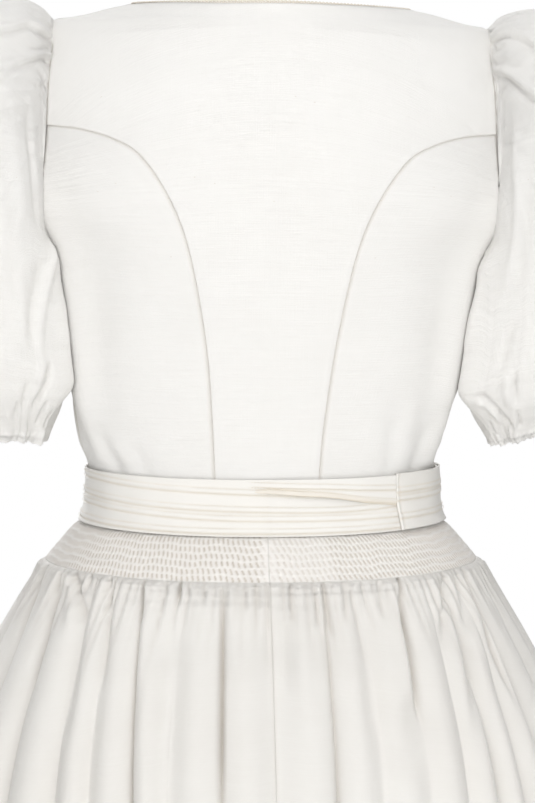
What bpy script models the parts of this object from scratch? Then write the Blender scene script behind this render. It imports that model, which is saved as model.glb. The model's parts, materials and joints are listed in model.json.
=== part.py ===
"""A dirndl dress, filled out as it is worn and hollow inside: a fitted bodice with curved seams,
gathered puff sleeves, a satin sash, a smocked band and a full gathered skirt.

Metres, +Z up. The origin is midway between the shoulder tips. The front faces -Y, and the
wearer's left is +X. Angles round the body run from 0 at the centre back, through 90 degrees at
the left side, to 180 at the centre front.
"""

import math

import bpy
import numpy as np

# Driving heights, from the shoulder tips
WAIST_SEAM = -0.345
SMOCKING_END = -0.396
HEM = -1.045
UNDERARM = -0.165

# Cloth walls and the gaps between pieces
BODICE_CLOTH = 0.0015
SLEEVE_CLOTH = 0.0013
SKIRT_CLOTH = 0.0014
SASH_CLOTH = 0.0014
SEAM_GAP = 0.0004
LAID_ON_GAP = 0.0004
SASH_CLEARANCE = 0.0014
SLEEVE_CLEARANCE = 0.0022

# The body under the cloth: columns z, half_width, back_depth, front_depth, squareness
# The half width above the underarm is that of a full oval, which the armhole then cuts.
BODY = (
    (-0.365, 0.1300, 0.0925, 0.0930, 2.25),
    (-0.345, 0.1258, 0.0885, 0.0895, 2.25),
    (-0.325, 0.1275, 0.0892, 0.0910, 2.25),
    (-0.305, 0.1352, 0.0915, 0.0935, 2.25),
    (-0.260, 0.1448, 0.0965, 0.1020, 2.30),
    (-0.220, 0.1505, 0.1010, 0.1100, 2.30),
    (-0.185, 0.1560, 0.1040, 0.1150, 2.30),
    (-0.165, 0.1620, 0.1045, 0.1150, 2.30),
    (-0.135, 0.1800, 0.1040, 0.1110, 2.30),
    (-0.105, 0.1865, 0.1020, 0.1040, 2.30),
    (-0.070, 0.1850, 0.0970, 0.0940, 2.25),
    (-0.040, 0.1780, 0.0890, 0.0830, 2.10),
    (-0.020, 0.1705, 0.0820, 0.0740, 1.90),
    (0.000, 0.1590, 0.0735, 0.0640, 1.75),
    (0.0035, 0.1410, 0.0715, 0.0620, 1.75),
    (0.011, 0.1140, 0.0675, 0.0575, 1.75),
    (0.014, 0.0980, 0.0660, 0.0555, 1.75),
    (0.017, 0.0850, 0.0650, 0.0540, 1.75),
)

# Bust cups, one on each side of the front: place, reach and how far they stand out
CUP_X, CUP_Z = 0.076, -0.160
CUP_REACH_X, CUP_REACH_Z = 0.046, 0.042
CUP_DEPTH = 0.024
# Between the cups the cloth is stretched flat
BRIDGED_HALF_WIDTH = 0.030

# The wearer leans a little to the right above the waist
LEAN = 0.021
LEAN_RAMP = 0.10

# The curved back seam, from the waist to the armhole: columns distance from the centre, z
BACK_SEAM = (
    (0.0365, -0.345),
    (0.0398, -0.292),
    (0.0466, -0.2315),
    (0.0591, -0.169),
    (0.0735, -0.131),
    (0.0953, -0.099),
    (0.1160, -0.0865),
    (0.1400, -0.0800),
    (0.1632, -0.0780),
)
# The front seam runs over the cup in the same way
FRONT_SEAM = (
    (0.0480, -0.345),
    (0.0600, -0.280),
    (0.0720, -0.220),
    (0.0800, -0.165),
    (0.0930, -0.128),
    (0.1180, -0.104),
    (0.1452, -0.096),
)
# The armhole: columns z, distance from the centre at the back, and at the front
ARMHOLE = (
    (0.000, 0.1590, 0.1590),
    (-0.020, 0.1605, 0.1535),
    (-0.050, 0.1630, 0.1475),
    (-0.078, 0.1632, 0.1450),
    (-0.096, 0.1640, 0.1452),
    (-0.125, 0.1660, 0.1510),
    (-0.150, 0.1655, 0.1585),
    (-0.165, 0.1620, 0.1620),
)
NECK_POINT_Z = 0.013
BACK_NECK_Z = 0.0162
# The front neckline, from the centre front to the shoulder: columns distance from the centre, z
FRONT_NECK = (
    (0.0000, -0.116),
    (0.0300, -0.1135),
    (0.0620, -0.101),
    (0.0880, -0.073),
    (0.1000, -0.037),
    (0.1050, 0.013),
)
CLOSING_EDGE = 0.008

# Points along each seam of the bodice
SEAM_STEPS, ARMHOLE_STEPS, SHOULDER_STEPS, CLOSING_STEPS = 9, 4, 2, 7
BACK_COLUMNS, FRONT_COLUMNS, SIDE_COLUMNS = 14, 6, 5

# Sleeves, ring by ring: columns top_x, top_z, under_z, clear of the body, half depth
SLEEVE_RINGS = (
    (0.1690, 0.0090, -0.1710, 0.000, 0.0680),
    (0.1850, 0.0135, -0.1790, 0.000, 0.0790),
    (0.2090, 0.0130, -0.1900, 0.000, 0.0860),
    (0.2420, 0.0040, -0.2070, 0.000, 0.0905),
    (0.2740, -0.0180, -0.2240, 0.000, 0.0915),
    (0.2960, -0.0680, -0.2400, 0.000, 0.0905),
    (0.3040, -0.1300, -0.2530, 0.000, 0.0880),
    (0.3020, -0.1950, -0.2660, 0.001, 0.0840),
    (0.2880, -0.2520, -0.2810, 0.006, 0.0740),
    (0.2620, -0.2860, -0.2970, 0.016, 0.0560),
    (0.2570, -0.2985, -0.3065, 0.022, 0.0515),
)
SLEEVE_COLUMNS = 40
SLEEVE_SQUARENESS = 2.25
SLEEVE_WAVES = 10
HEAD_GATHER = (0.0010, 0.0030, 0.0038, 0.0030, 0.0016, 0.0006, 0.0, 0.0, 0.0, 0.0, 0.0)
CUFF_GATHER = (0.0, 0.0, 0.0, 0.0, 0.0, 0.0, 0.0004, 0.0012, 0.0026, 0.0030, 0.0026)

# The smocked band and the skirt: columns z, half_width, back_depth, front_depth
SKIRT = (
    (-0.345, 0.1262, 0.0888, 0.0898),
    (-0.362, 0.1318, 0.0960, 0.0955),
    (-0.368, 0.1392, 0.1015, 0.0990),
    (-0.380, 0.1500, 0.1125, 0.1070),
    (-0.396, 0.1630, 0.1270, 0.1170),
    (-0.424, 0.1815, 0.1500, 0.1340),
    (-0.462, 0.2040, 0.1770, 0.1540),
    (-0.520, 0.2350, 0.2080, 0.1800),
    (-0.600, 0.2680, 0.2370, 0.2080),
    (-0.720, 0.3060, 0.2700, 0.2390),
    (-0.880, 0.3460, 0.3030, 0.2700),
    (-1.045, 0.3780, 0.3290, 0.2940),
)
SKIRT_SQUARENESS = 2.2
# The waist dips at the centre back: columns z, dip
BACK_DIP = ((-1.045, 0.0), (-0.62, 0.0), (-0.396, 0.0075), (-0.362, 0.0062), (-0.325, 0.0042), (-0.28, 0.0))

# Smocking: rows of cells, raised on the outside only
SMOCKING_ROWS = 8
SMOCKING_COLUMNS = 104
SMOCKING_RELIEF = 0.0013

# The skirt's folds, each from its gathering stitch to where it hangs lower down.
# Columns: degrees at the smocking, degrees 0.18 m lower, depth against the deepest
LEFT_BACK_FOLDS = (
    (12, 7, 1.00),
    (24, 16, 0.45),
    (31, 22, 1.00),
    (39, 28, 0.50),
    (48, 35, 0.80),
    (59, 49, 0.90),
    (72, 63, 0.80),
    (82, 77, 0.80),
)
RIGHT_BACK_FOLDS = (
    (12, 9, 0.90),
    (22, 16, 0.50),
    (30, 24, 1.00),
    (38, 30, 0.50),
    (46, 37, 0.80),
    (54, 46, 0.60),
    (62, 58, 1.00),
    (71, 70, 0.80),
    (81, 80, 0.80),
)
LEFT_FRONT_FOLDS = (
    (10, 8, 0.80),
    (21, 17, 0.90),
    (33, 27, 0.60),
    (43, 38, 0.95),
    (54, 48, 0.60),
    (64, 60, 0.90),
    (77, 75, 0.80),
)
RIGHT_FRONT_FOLDS = (
    (11, 9, 0.90),
    (23, 19, 0.60),
    (34, 29, 1.00),
    (45, 39, 0.65),
    (57, 51, 0.90),
    (67, 63, 0.70),
    (79, 76, 0.90),
)
SEAM_FOLD_DEPTH = 0.7
FOLDS_HANG_AT = -0.575
HEM_EVENNESS = 0.45
POINTS_PER_FOLD = 5
CREASE_SHARPNESS = 0.7
# How deep the deepest fold is: columns z, depth
FOLD_DEPTH = (
    (-1.045, 0.0310),
    (-0.880, 0.0280),
    (-0.720, 0.0245),
    (-0.575, 0.0195),
    (-0.462, 0.0120),
    (-0.420, 0.0065),
    (-0.396, 0.0028),
)
SKIRT_RINGS = (-0.3965, -0.411, -0.436, -0.480, -0.555, -0.680, -0.850, -1.045)

# The sash: heights of its edges at the sides, and the layer that crosses it at the back
SASH_TOP, SASH_BOTTOM = -0.3245, -0.3630
SASH_COLUMNS = 54
# How far it stands off the body: columns share of its height below the top edge, distance
SASH_STANDS_OFF = ((0.0, 0.0), (0.5, 0.0026), (1.0, 0.0038))
# The crossing layer runs from its tapered tip to the joining seam: columns degrees, top, bottom,
# each as a share of the sash's height from its top edge
CROSSING_LAYER = (
    (0, 0.02, 0.17),
    (-7, 0.01, 0.28),
    (-16, 0.00, 0.30),
    (-31, 0.00, 0.46),
    (-47.5, 0.00, 0.58),
)
# Where the upper lengths begin and end, in columns of the sash from the centre back: the crossing
# layer ends at the joining seam, and the side length runs from there to its lapped front end
CROSSING_START, JOINING_SEAM, LAPPED_END = 0, -7, -29

BRAID_RADIUS = 0.0013
BRAID_SIDES = 6
BRAID_GAP = 0.0008

BUTTON_RADIUS, BUTTON_HEIGHT = 0.0052, 0.0024
BUTTON_COUNT = 6
BUTTON_TOP_Z, BUTTON_BOTTOM_Z = -0.128, -0.308
BUTTON_SIDES = 12
BUTTON_GAP = 0.0006
# A button from its back to its top: columns share of the height, share of the radius
BUTTON_PROFILE = ((0.0, 0.8), (0.4, 1.0), (1.0, 0.82))


def smooth_step(value):
    value = min(max(value, 0.0), 1.0)
    return value * value * (3 - 2 * value)


def column(rows, at, index):
    """The value of one column of a table at a value of the first, on a curve that never overshoots."""
    rows = sorted(rows)
    xs = [row[0] for row in rows]
    ys = [row[index] for row in rows]
    at = min(max(at, xs[0]), xs[-1])
    slopes = [(ys[i + 1] - ys[i]) / (xs[i + 1] - xs[i]) for i in range(len(xs) - 1)]
    i = max(k for k in range(len(slopes)) if xs[k] <= at)

    def tangent(k):
        if k in (0, len(xs) - 1):
            return slopes[min(k, len(slopes) - 1)]
        before, after = slopes[k - 1], slopes[k]
        return 0.0 if before * after <= 0 else 2 * before * after / (before + after)

    width = xs[i + 1] - xs[i]
    t = (at - xs[i]) / width
    return (
        (2 * t**3 - 3 * t**2 + 1) * ys[i]
        + (t**3 - 2 * t**2 + t) * width * tangent(i)
        + (3 * t**2 - 2 * t**3) * ys[i + 1]
        + (t**3 - t**2) * width * tangent(i + 1)
    )


def along(points, count):
    """Points evenly spaced along a smooth curve through the given ones, ends included."""
    points = [np.array(p, float) for p in points]
    padded = [2 * points[0] - points[1], *points, 2 * points[-1] - points[-2]]
    dense = []
    for a, b, c, d in zip(padded, padded[1:], padded[2:], padded[3:]):
        for t in np.linspace(0, 1, 20, endpoint=False):
            dense.append(
                0.5 * (2 * b + (c - a) * t + (2 * a - 5 * b + 4 * c - d) * t**2 + (3 * b - a - 3 * c + d) * t**3)
            )
    dense = np.array([*dense, points[-1]])
    length = np.concatenate([[0], np.cumsum(np.linalg.norm(np.diff(dense, axis=0), axis=1))])
    at = np.linspace(0, length[-1], count + 1)
    return np.stack([np.interp(at, length, dense[:, k]) for k in range(dense.shape[1])], axis=1)


def signed_power(value, power):
    return math.copysign(abs(value) ** power, value)


def oval(angle, half_width, back_depth, front_depth, squareness):
    """(x, y) on an oval whose front and back depths differ."""
    power = 2 / squareness
    depth = back_depth if math.cos(angle) > 0 else front_depth
    return half_width * signed_power(math.sin(angle), power), depth * signed_power(math.cos(angle), power)


def lean(point):
    """The point after the wearer's lean, which turns all that is above the waist."""
    x, y, z = point
    share = LEAN * smooth_step((z - WAIST_SEAM) / LEAN_RAMP)
    return np.array([x - share * (z - WAIST_SEAM), y, z + share * x])


def dip(angle, z):
    return column(BACK_DIP, z, 1) * max(0.0, math.cos(angle)) ** 1.5


def body_point(angle, z, out=0.0):
    """A point of the bodice's outer face before the lean, moved out sideways if asked."""
    x, y = oval(angle, *(column(BODY, z, k) for k in range(1, 5)))
    if math.cos(angle) < 0:
        aside = math.hypot(x, BRIDGED_HALF_WIDTH) - CUP_X
        reach = (aside / CUP_REACH_X) ** 2 + ((z - CUP_Z) / CUP_REACH_Z) ** 2
        y -= CUP_DEPTH * math.exp(-reach)
    if out:
        ahead = np.array(body_point(angle + 0.02, z)) - np.array(body_point(angle - 0.02, z))
        across = np.array([-ahead[1], ahead[0], 0.0])
        across /= np.linalg.norm(across)
        x, y = x + across[0] * out, y + across[1] * out
    return x, y, z


def torso(angle, z, inward=0.0):
    """A point of the bodice, on its outer face or a cloth's thickness inside it."""
    place = np.array(body_point(angle, z))
    if inward:
        step = 0.012
        by_angle = np.array(body_point(angle + step, z)) - np.array(body_point(angle - step, z))
        by_height = np.array(body_point(angle, z + 0.001)) - np.array(body_point(angle, z - 0.001))
        normal = np.cross(by_height, by_angle)
        place = place - normal / np.linalg.norm(normal) * inward
    return lean(place)


def angle_at(distance, z):
    """The angle at which the back is that far from the centre."""
    share = min(abs(distance) / column(BODY, z, 1), 1.0)
    return math.asin(share ** (column(BODY, z, 4) / 2))


def armhole_point(z, front):
    """(angle, z) of the armhole's edge on the left."""
    angle = angle_at(column(ARMHOLE, z, 2 if front else 1), z)
    return (math.pi - angle if front else angle), z


def volume_of(points, faces):
    total = 0.0
    for face in faces:
        for second, third in zip(face[1:], face[2:]):
            total += np.dot(points[face[0]], np.cross(points[second], points[third]))
    return total / 6


def mesh_object(name, points, faces, colour, roughness):
    """The object, with its faces turned outwards."""
    if volume_of(points, faces) < 0:
        faces = [face[::-1] for face in faces]
    mesh = bpy.data.meshes.new(name)
    mesh.from_pydata([tuple(p) for p in points], [], faces)
    mesh.validate()
    made = bpy.data.objects.new(name, mesh)
    bpy.context.scene.collection.objects.link(made)
    mesh.materials.append(cloth_material(name, colour, roughness))
    mesh.shade_smooth()
    return made


def cloth_material(name, colour, roughness):
    material = bpy.data.materials.new(name)
    material.use_nodes = True
    shader = material.node_tree.nodes["Principled BSDF"]
    shader.inputs["Base Color"].default_value = (*colour, 1)
    shader.inputs["Roughness"].default_value = roughness
    shader.inputs["Metallic"].default_value = 0
    return material


def strip(rows, reverse, wrap):
    """Quads between the rows of a grid of point numbers."""
    faces = []
    for low, high in zip(rows, rows[1:]):
        count = len(low) if wrap else len(low) - 1
        for i in range(count):
            j = (i + 1) % len(low)
            quad = (low[i], low[j], high[j], high[i])
            faces.append(quad[::-1] if reverse else quad)
    return faces


def wall(name, outer, inner, finish, wrap=False):
    """One closed solid between an outer grid and an inner one with as many columns. Rows run up."""
    outer, inner = np.array(outer), np.array(inner)
    columns = outer.shape[1]
    front = np.arange(outer.shape[0] * columns).reshape(-1, columns)
    back = front.size + np.arange(inner.shape[0] * columns).reshape(-1, columns)
    front, back = front.tolist(), back.tolist()
    faces = strip(front, False, wrap) + strip(back, True, wrap)
    faces += strip([front[-1], back[-1]], False, wrap) + strip([back[0], front[0]], False, wrap)
    if not wrap:
        left = [row[0] for row in front], [row[0] for row in back]
        right = [row[-1] for row in front], [row[-1] for row in back]
        if len(front) == len(back):
            faces += strip(left, False, False) + strip(right, True, False)
        else:
            faces.append((*left[0], *left[1][::-1]))
            faces.append((*right[1], *right[0][::-1]))
    points = np.concatenate([outer.reshape(-1, 3), inner.reshape(-1, 3)])
    return mesh_object(name, points, faces, *finish)


def drawn_in(grid, amount, sides="bottom top left right"):
    """The grid with its border moved inwards along the cloth, which leaves the seam's gap."""
    grid = np.array(grid, float)
    moved = grid.copy()

    def pull(edge, inside):
        step = inside - edge
        return step / np.linalg.norm(step, axis=-1, keepdims=True) * amount

    if "bottom" in sides:
        moved[0] += pull(grid[0], grid[1])
    if "top" in sides:
        moved[-1] += pull(grid[-1], grid[-2])
    if "left" in sides:
        moved[:, 0] += pull(grid[:, 0], grid[:, 1])
    if "right" in sides:
        moved[:, -1] += pull(grid[:, -1], grid[:, -2])
    return moved


def coons(bottom, top, left, right):
    """(angle, z) inside four borders that meet at their ends. Rows run from bottom to top."""
    bottom, top, left, right = (np.array(b, float) for b in (bottom, top, left, right))
    u = np.linspace(0, 1, len(bottom))[None, :, None]
    v = np.linspace(0, 1, len(left))[:, None, None]
    corners = (
        (1 - u) * (1 - v) * bottom[0]
        + u * (1 - v) * bottom[-1]
        + (1 - u) * v * top[0]
        + u * v * top[-1]
    )
    return (1 - v) * bottom + v * top + (1 - u) * left[:, None] + u * right[:, None] - corners


def bodice_panel(name, domain):
    outer = drawn_in([[torso(a, z) for a, z in row] for row in domain], SEAM_GAP / 2)
    inner = drawn_in([[torso(a, z, BODICE_CLOTH) for a, z in row] for row in domain], SEAM_GAP / 2)
    wall(name, outer, inner, BODICE_FINISH)
    return outer


def waist_line(start, end, count):
    return [(a, WAIST_SEAM - dip(a, WAIST_SEAM)) for a in np.linspace(start, end, count + 1)]


def curved_seam(table, front):
    """(angle, z) down a curved seam of the left side, waist first."""
    places = []
    for distance, z in along(table, SEAM_STEPS):
        angle = angle_at(distance, z)
        places.append(((math.pi - angle) if front else angle, z))
    first = places[0][0]
    places[0] = (first, WAIST_SEAM - dip(first, WAIST_SEAM))
    return places


def outer_border(seam, front):
    """(angle, z) up a curved seam and then up the armhole to the shoulder tip."""
    heights = np.linspace(seam[-1][1], 0, ARMHOLE_STEPS + 1)[1:]
    return [*seam, *(armhole_point(z, front) for z in heights)]


def shoulder_border():
    """(angle, z) from the shoulder tip up to the neck point."""
    return [(math.pi / 2, z) for z in np.linspace(0, NECK_POINT_Z, SHOULDER_STEPS + 1)]


def side_border(count):
    return [(math.pi / 2, z) for z in np.linspace(WAIST_SEAM, UNDERARM, count + 1)]


def armhole_border(start_z, count, front):
    """(angle, z) along the armhole from a seam's end to the underarm."""
    return [armhole_point(z, front) for z in np.linspace(start_z, UNDERARM, count + 1)]


def mirrored(places):
    return [(-angle, z) for angle, z in places]


def back_neckline(count):
    """(angle, z) across the back from the left neck point to the right one."""
    places = []
    for angle in np.linspace(math.pi / 2, -math.pi / 2, count + 1):
        rise = (BACK_NECK_Z - NECK_POINT_Z) * math.cos(angle) ** 0.8 if abs(angle) < 1.57 else 0.0
        places.append((angle, NECK_POINT_Z + rise))
    return places


def opening_border(start):
    """(angle, z) up the centre front edge and round the left half of the front neckline."""
    closing = [(start, z) for z in np.linspace(WAIST_SEAM, FRONT_NECK[0][1], CLOSING_STEPS + 1)]
    neckline = [(start, FRONT_NECK[0][1]), *FRONT_NECK[1:]]
    steps = SEAM_STEPS + ARMHOLE_STEPS - CLOSING_STEPS
    places = []
    for distance, z in [*closing[:-1], *along(neckline, steps)]:
        places.append((math.pi - math.copysign(angle_at(distance, z), distance), z))
    places[-1] = (math.pi / 2, NECK_POINT_Z)
    return places


def make_back():
    left = outer_border(curved_seam(BACK_SEAM, False), False)
    domain = [np.linspace(start, end, BACK_COLUMNS + 1) for start, end in zip(left, mirrored(left))]
    domain[0] = waist_line(left[0][0], -left[0][0], BACK_COLUMNS)
    shoulder = shoulder_border()
    neckline = back_neckline(BACK_COLUMNS - 2 * SHOULDER_STEPS)
    domain[-1] = shoulder + neckline[1:-1] + mirrored(shoulder)[::-1]
    bodice_panel("back", domain)


def make_side_panels():
    for side, turn in (("left", list), ("right", mirrored)):
        for place, table, front in (("back", BACK_SEAM, False), ("front", FRONT_SEAM, True)):
            seam = curved_seam(table, front)
            side_seam = side_border(SEAM_STEPS)
            bottom = waist_line(seam[0][0], side_seam[0][0], SIDE_COLUMNS)
            top = armhole_border(seam[-1][1], SIDE_COLUMNS, front)
            domain = coons(turn(bottom), turn(top), turn(seam), turn(side_seam))
            bodice_panel(f"side_{place}_{side}", domain)


def make_fronts():
    """Both fronts, and the outer face of each."""
    faces = {}
    seam = outer_border(curved_seam(FRONT_SEAM, True), True)
    for side, turn, start in (("left", list, CLOSING_EDGE), ("right", mirrored, -CLOSING_EDGE)):
        opening = opening_border(start)
        pairs = zip(turn(opening), turn(seam))
        domain = [np.linspace(first, last, FRONT_COLUMNS + 1) for first, last in pairs]
        faces[side] = bodice_panel(f"front_{side}", domain)
    return faces


def sleeve_rings(columns):
    """The left sleeve's outer rings, from the armhole to the cuff."""
    rings = [[], *([] for _ in SLEEVE_RINGS)]
    for i in range(columns):
        theta = 2 * math.pi * i / columns
        front = math.sin(theta) < 0
        z = UNDERARM / 2 * (1 - math.cos(theta))
        angle, z = armhole_point(z, front)
        x, y, z = body_point(angle, z)
        rings[0].append(np.array([x + SEAM_GAP, y, z]))
        for k, (top_x, top_z, under_z, clear, depth) in enumerate(SLEEVE_RINGS):
            under_x = column(BODY, under_z, 1) + SLEEVE_CLEARANCE + clear
            top, under = np.array([top_x, 0, top_z]), np.array([under_x, 0, under_z])
            power = 2 / SLEEVE_SQUARENESS
            wave = math.cos(SLEEVE_WAVES * theta)
            upper = smooth_step(0.75 + 0.9 * math.cos(theta))
            swell = HEAD_GATHER[k] * wave * upper + CUFF_GATHER[k] * wave
            half_height = np.linalg.norm(top - under) / 2 + swell
            lift = (top - under) / np.linalg.norm(top - under)
            place = (top + under) / 2 + lift * half_height * signed_power(math.cos(theta), power)
            place[1] += (depth + swell) * signed_power(math.sin(theta), power)
            rings[k + 1].append(place)
    return rings


def ring_normals(rings, wrap):
    """The outward direction at each point of a grid of rings, from its neighbours."""
    grid = np.array(rings, float)
    if wrap:
        across = np.roll(grid, -1, axis=1) - np.roll(grid, 1, axis=1)
    else:
        across = np.gradient(grid, axis=1)
    down = np.gradient(grid, axis=0)
    normals = np.cross(across, down)
    return normals / np.linalg.norm(normals, axis=2, keepdims=True)


def make_sleeves():
    rings = sleeve_rings(SLEEVE_COLUMNS)
    normals = ring_normals(rings, True)
    grid = np.array(rings)
    centres = grid.mean(axis=1, keepdims=True)
    inward = np.where(((grid - centres) * normals).sum(axis=2, keepdims=True) > 0, -1, 1) * normals
    # At the armhole the wall lies in the armhole's own plane
    to_centre = centres[0] - grid[0]
    to_centre[:, 0] = 0
    inward[0] = to_centre / np.linalg.norm(to_centre, axis=1, keepdims=True)
    inner = grid + inward * SLEEVE_CLOTH
    for side, sign in (("left", 1), ("right", -1)):
        flip = np.array([sign, 1, 1])
        outside = [[lean(p * flip) for p in ring] for ring in grid]
        inside = [[lean(p * flip) for p in ring] for ring in inner]
        wall(f"sleeve_{side}", outside, inside, SLEEVE_FINISH, wrap=True)


def skirt_point(angle, z, out=0.0):
    """A point of the skirt's smooth outer shape, moved out sideways if asked."""
    sizes = [column(SKIRT, z, k) for k in range(1, 4)]
    x, y = oval(angle, *sizes, SKIRT_SQUARENESS)
    away = np.array([x / sizes[0] ** 2, y / sizes[1] ** 2, 0.0])
    away /= np.linalg.norm(away)
    return np.array([x, y, z - dip(angle, z)]) + away * out


def fold_tracks():
    """Each fold's crease all round the skirt: (angle at the smocking, lower down, at the hem, depth)."""
    creases = [(0.0, 0.0, SEAM_FOLD_DEPTH)]
    creases += LEFT_BACK_FOLDS
    creases += [(90, 90, 0.8)]
    creases += [(180 - a, 180 - b, c) for a, b, c in reversed(LEFT_FRONT_FOLDS)]
    creases += [(180, 180, SEAM_FOLD_DEPTH)]
    creases += [(180 + a, 180 + b, c) for a, b, c in RIGHT_FRONT_FOLDS]
    creases += [(270, 270, 0.8)]
    creases += [(360 - a, 360 - b, c) for a, b, c in reversed(RIGHT_BACK_FOLDS)]
    tracks = []
    halves = [i for i, crease in enumerate(creases) if crease[0] in (0.0, 180)] + [len(creases)]
    for i, (top, low, depth) in enumerate(creases):
        half = 0 if i < halves[1] else 1
        first, last = halves[half], halves[half + 1]
        even = 180 * half + 180 * (i - first) / (last - first)
        hem = low + (even - low) * HEM_EVENNESS
        tracks.append(tuple(math.radians(a) for a in (top, low, hem)) + (depth,))
    return tracks


def crease_angle(track, z):
    top, low, hem, _ = track
    if z > FOLDS_HANG_AT:
        return top + (low - top) * smooth_step((SMOCKING_END - z) / (SMOCKING_END - FOLDS_HANG_AT))
    return low + (hem - low) * smooth_step((FOLDS_HANG_AT - z) / (FOLDS_HANG_AT - HEM))


def skirt_ring(z, points_per_fold):
    """One ring of the folded skirt, all round, with its columns following the folds."""
    tracks = fold_tracks()
    depth_here = column(FOLD_DEPTH, z, 1)
    ring = []
    for i, track in enumerate(tracks):
        after = tracks[(i + 1) % len(tracks)]
        start, end = crease_angle(track, z), crease_angle(after, z)
        if end < start:
            end += 2 * math.pi
        for k in range(points_per_fold):
            t = k / points_per_fold
            crest = math.sin(math.pi * t) ** CREASE_SHARPNESS if k else 0.0
            depth = track[3] * (1 - t) + after[3] * t
            ring.append(skirt_point(start + (end - start) * t, z, -depth_here * depth * (1 - crest)))
    return ring


def make_halves(name, outer, inner, half_column, finish):
    """The left and right halves of a ring-shaped wall, which meet in the middle of the back and front."""
    for side, first, last in (("left", 0, half_column), ("right", half_column, outer.shape[1])):
        columns = [i % outer.shape[1] for i in range(first, last + 1)]
        outside = drawn_in(outer[:, columns], SEAM_GAP / 2, "left right")
        inside = drawn_in(inner[:, columns], SEAM_GAP / 2, "left right")
        wall(f"{name}_{side}", outside, inside, finish)


def make_skirt():
    outer = np.array([skirt_ring(z, POINTS_PER_FOLD) for z in SKIRT_RINGS])
    normals = ring_normals(outer, True)
    outward = np.sign((normals * outer * np.array([1, 1, 0])).sum(axis=2, keepdims=True).mean())
    inner = outer - normals * outward * SKIRT_CLOTH
    # The wall's rims stay level with each other
    inner[0, :, 2], inner[-1, :, 2] = outer[0, :, 2], outer[-1, :, 2]
    folds_left = 2 + len(LEFT_BACK_FOLDS) + len(LEFT_FRONT_FOLDS)
    make_halves("skirt", outer[::-1], inner[::-1], folds_left * POINTS_PER_FOLD, SKIRT_FINISH)


def make_smocking():
    top, bottom = WAIST_SEAM - SEAM_GAP, SMOCKING_END - SEAM_GAP / 2
    heights = np.linspace(top, bottom, SMOCKING_ROWS + 1)
    angles = np.linspace(0, 2 * math.pi, SMOCKING_COLUMNS, endpoint=False)
    outer = []
    for row, z in enumerate(heights):
        # Under the sash the cells are pressed flat
        relief = SMOCKING_RELIEF * smooth_step((SASH_BOTTOM + 0.004 - z) / 0.008)
        outer.append(
            [skirt_point(a, z, -relief * ((row + i) % 2) - 0.0001) for i, a in enumerate(angles)]
        )
    inner_heights = (top, -0.3625, -0.3725, bottom)
    inside = -SMOCKING_RELIEF - SKIRT_CLOTH
    inner = [[skirt_point(a, z, inside) for a in angles] for z in inner_heights]
    outer, inner = np.array(outer), np.array(inner)
    make_halves("smocking", outer[::-1], inner[::-1], SMOCKING_COLUMNS // 2, SKIRT_FINISH)


def sash_point(angle, share, out):
    """A point of the sash at a share of its height below its top edge."""
    z = SASH_TOP + (SASH_BOTTOM - SASH_TOP) * share
    z -= dip(angle, z)
    return lean(body_point(angle, z, SASH_CLEARANCE + out + column(SASH_STANDS_OFF, share, 1)))


def sash_wall(name, angles, spans, out, wrap=False):
    """A length of the sash. Each span is its top and bottom at that angle, as shares of the height."""
    rows = (1.0, 0.5, 0.0)
    outer, inner = [], []
    for down in rows:
        places = [(a, t + (b - t) * down) for a, (t, b) in zip(angles, spans)]
        outer.append([sash_point(a, share, out + SASH_CLOTH) for a, share in places])
        inner.append([sash_point(a, share, out) for a, share in places])
    if not wrap:
        outer = drawn_in(outer, SEAM_GAP / 2, "left right")
        inner = drawn_in(inner, SEAM_GAP / 2, "left right")
    return wall(name, outer, inner, SASH_FINISH, wrap)


def make_sash():
    angles = np.linspace(0, 2 * math.pi, SASH_COLUMNS, endpoint=False)
    sash_wall("sash_band", angles, [(0.0, 1.0)] * SASH_COLUMNS, 0.0, wrap=True)
    step = 2 * math.pi / SASH_COLUMNS
    layer = SASH_CLOTH + LAID_ON_GAP
    crossing = [k * step for k in range(CROSSING_START, JOINING_SEAM - 1, -1)]
    spans = [[column(CROSSING_LAYER, math.degrees(a), k) for k in (1, 2)] for a in crossing]
    sash_wall("sash_crossing", crossing, spans, layer)
    side = [k * step for k in range(JOINING_SEAM, LAPPED_END - 1, -1)]
    sash_wall("sash_side", side, [(-0.03, 0.99)] * len(side), layer)


def braid_path():
    """Points along the neck edge, from the closing edge round the back to the closing edge."""
    left = opening_border(CLOSING_EDGE)[CLOSING_STEPS:]
    right = mirrored(opening_border(-CLOSING_EDGE))[CLOSING_STEPS:]
    return left + back_neckline(BACK_COLUMNS - 2 * SHOULDER_STEPS)[1:-1] + right[::-1]


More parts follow.
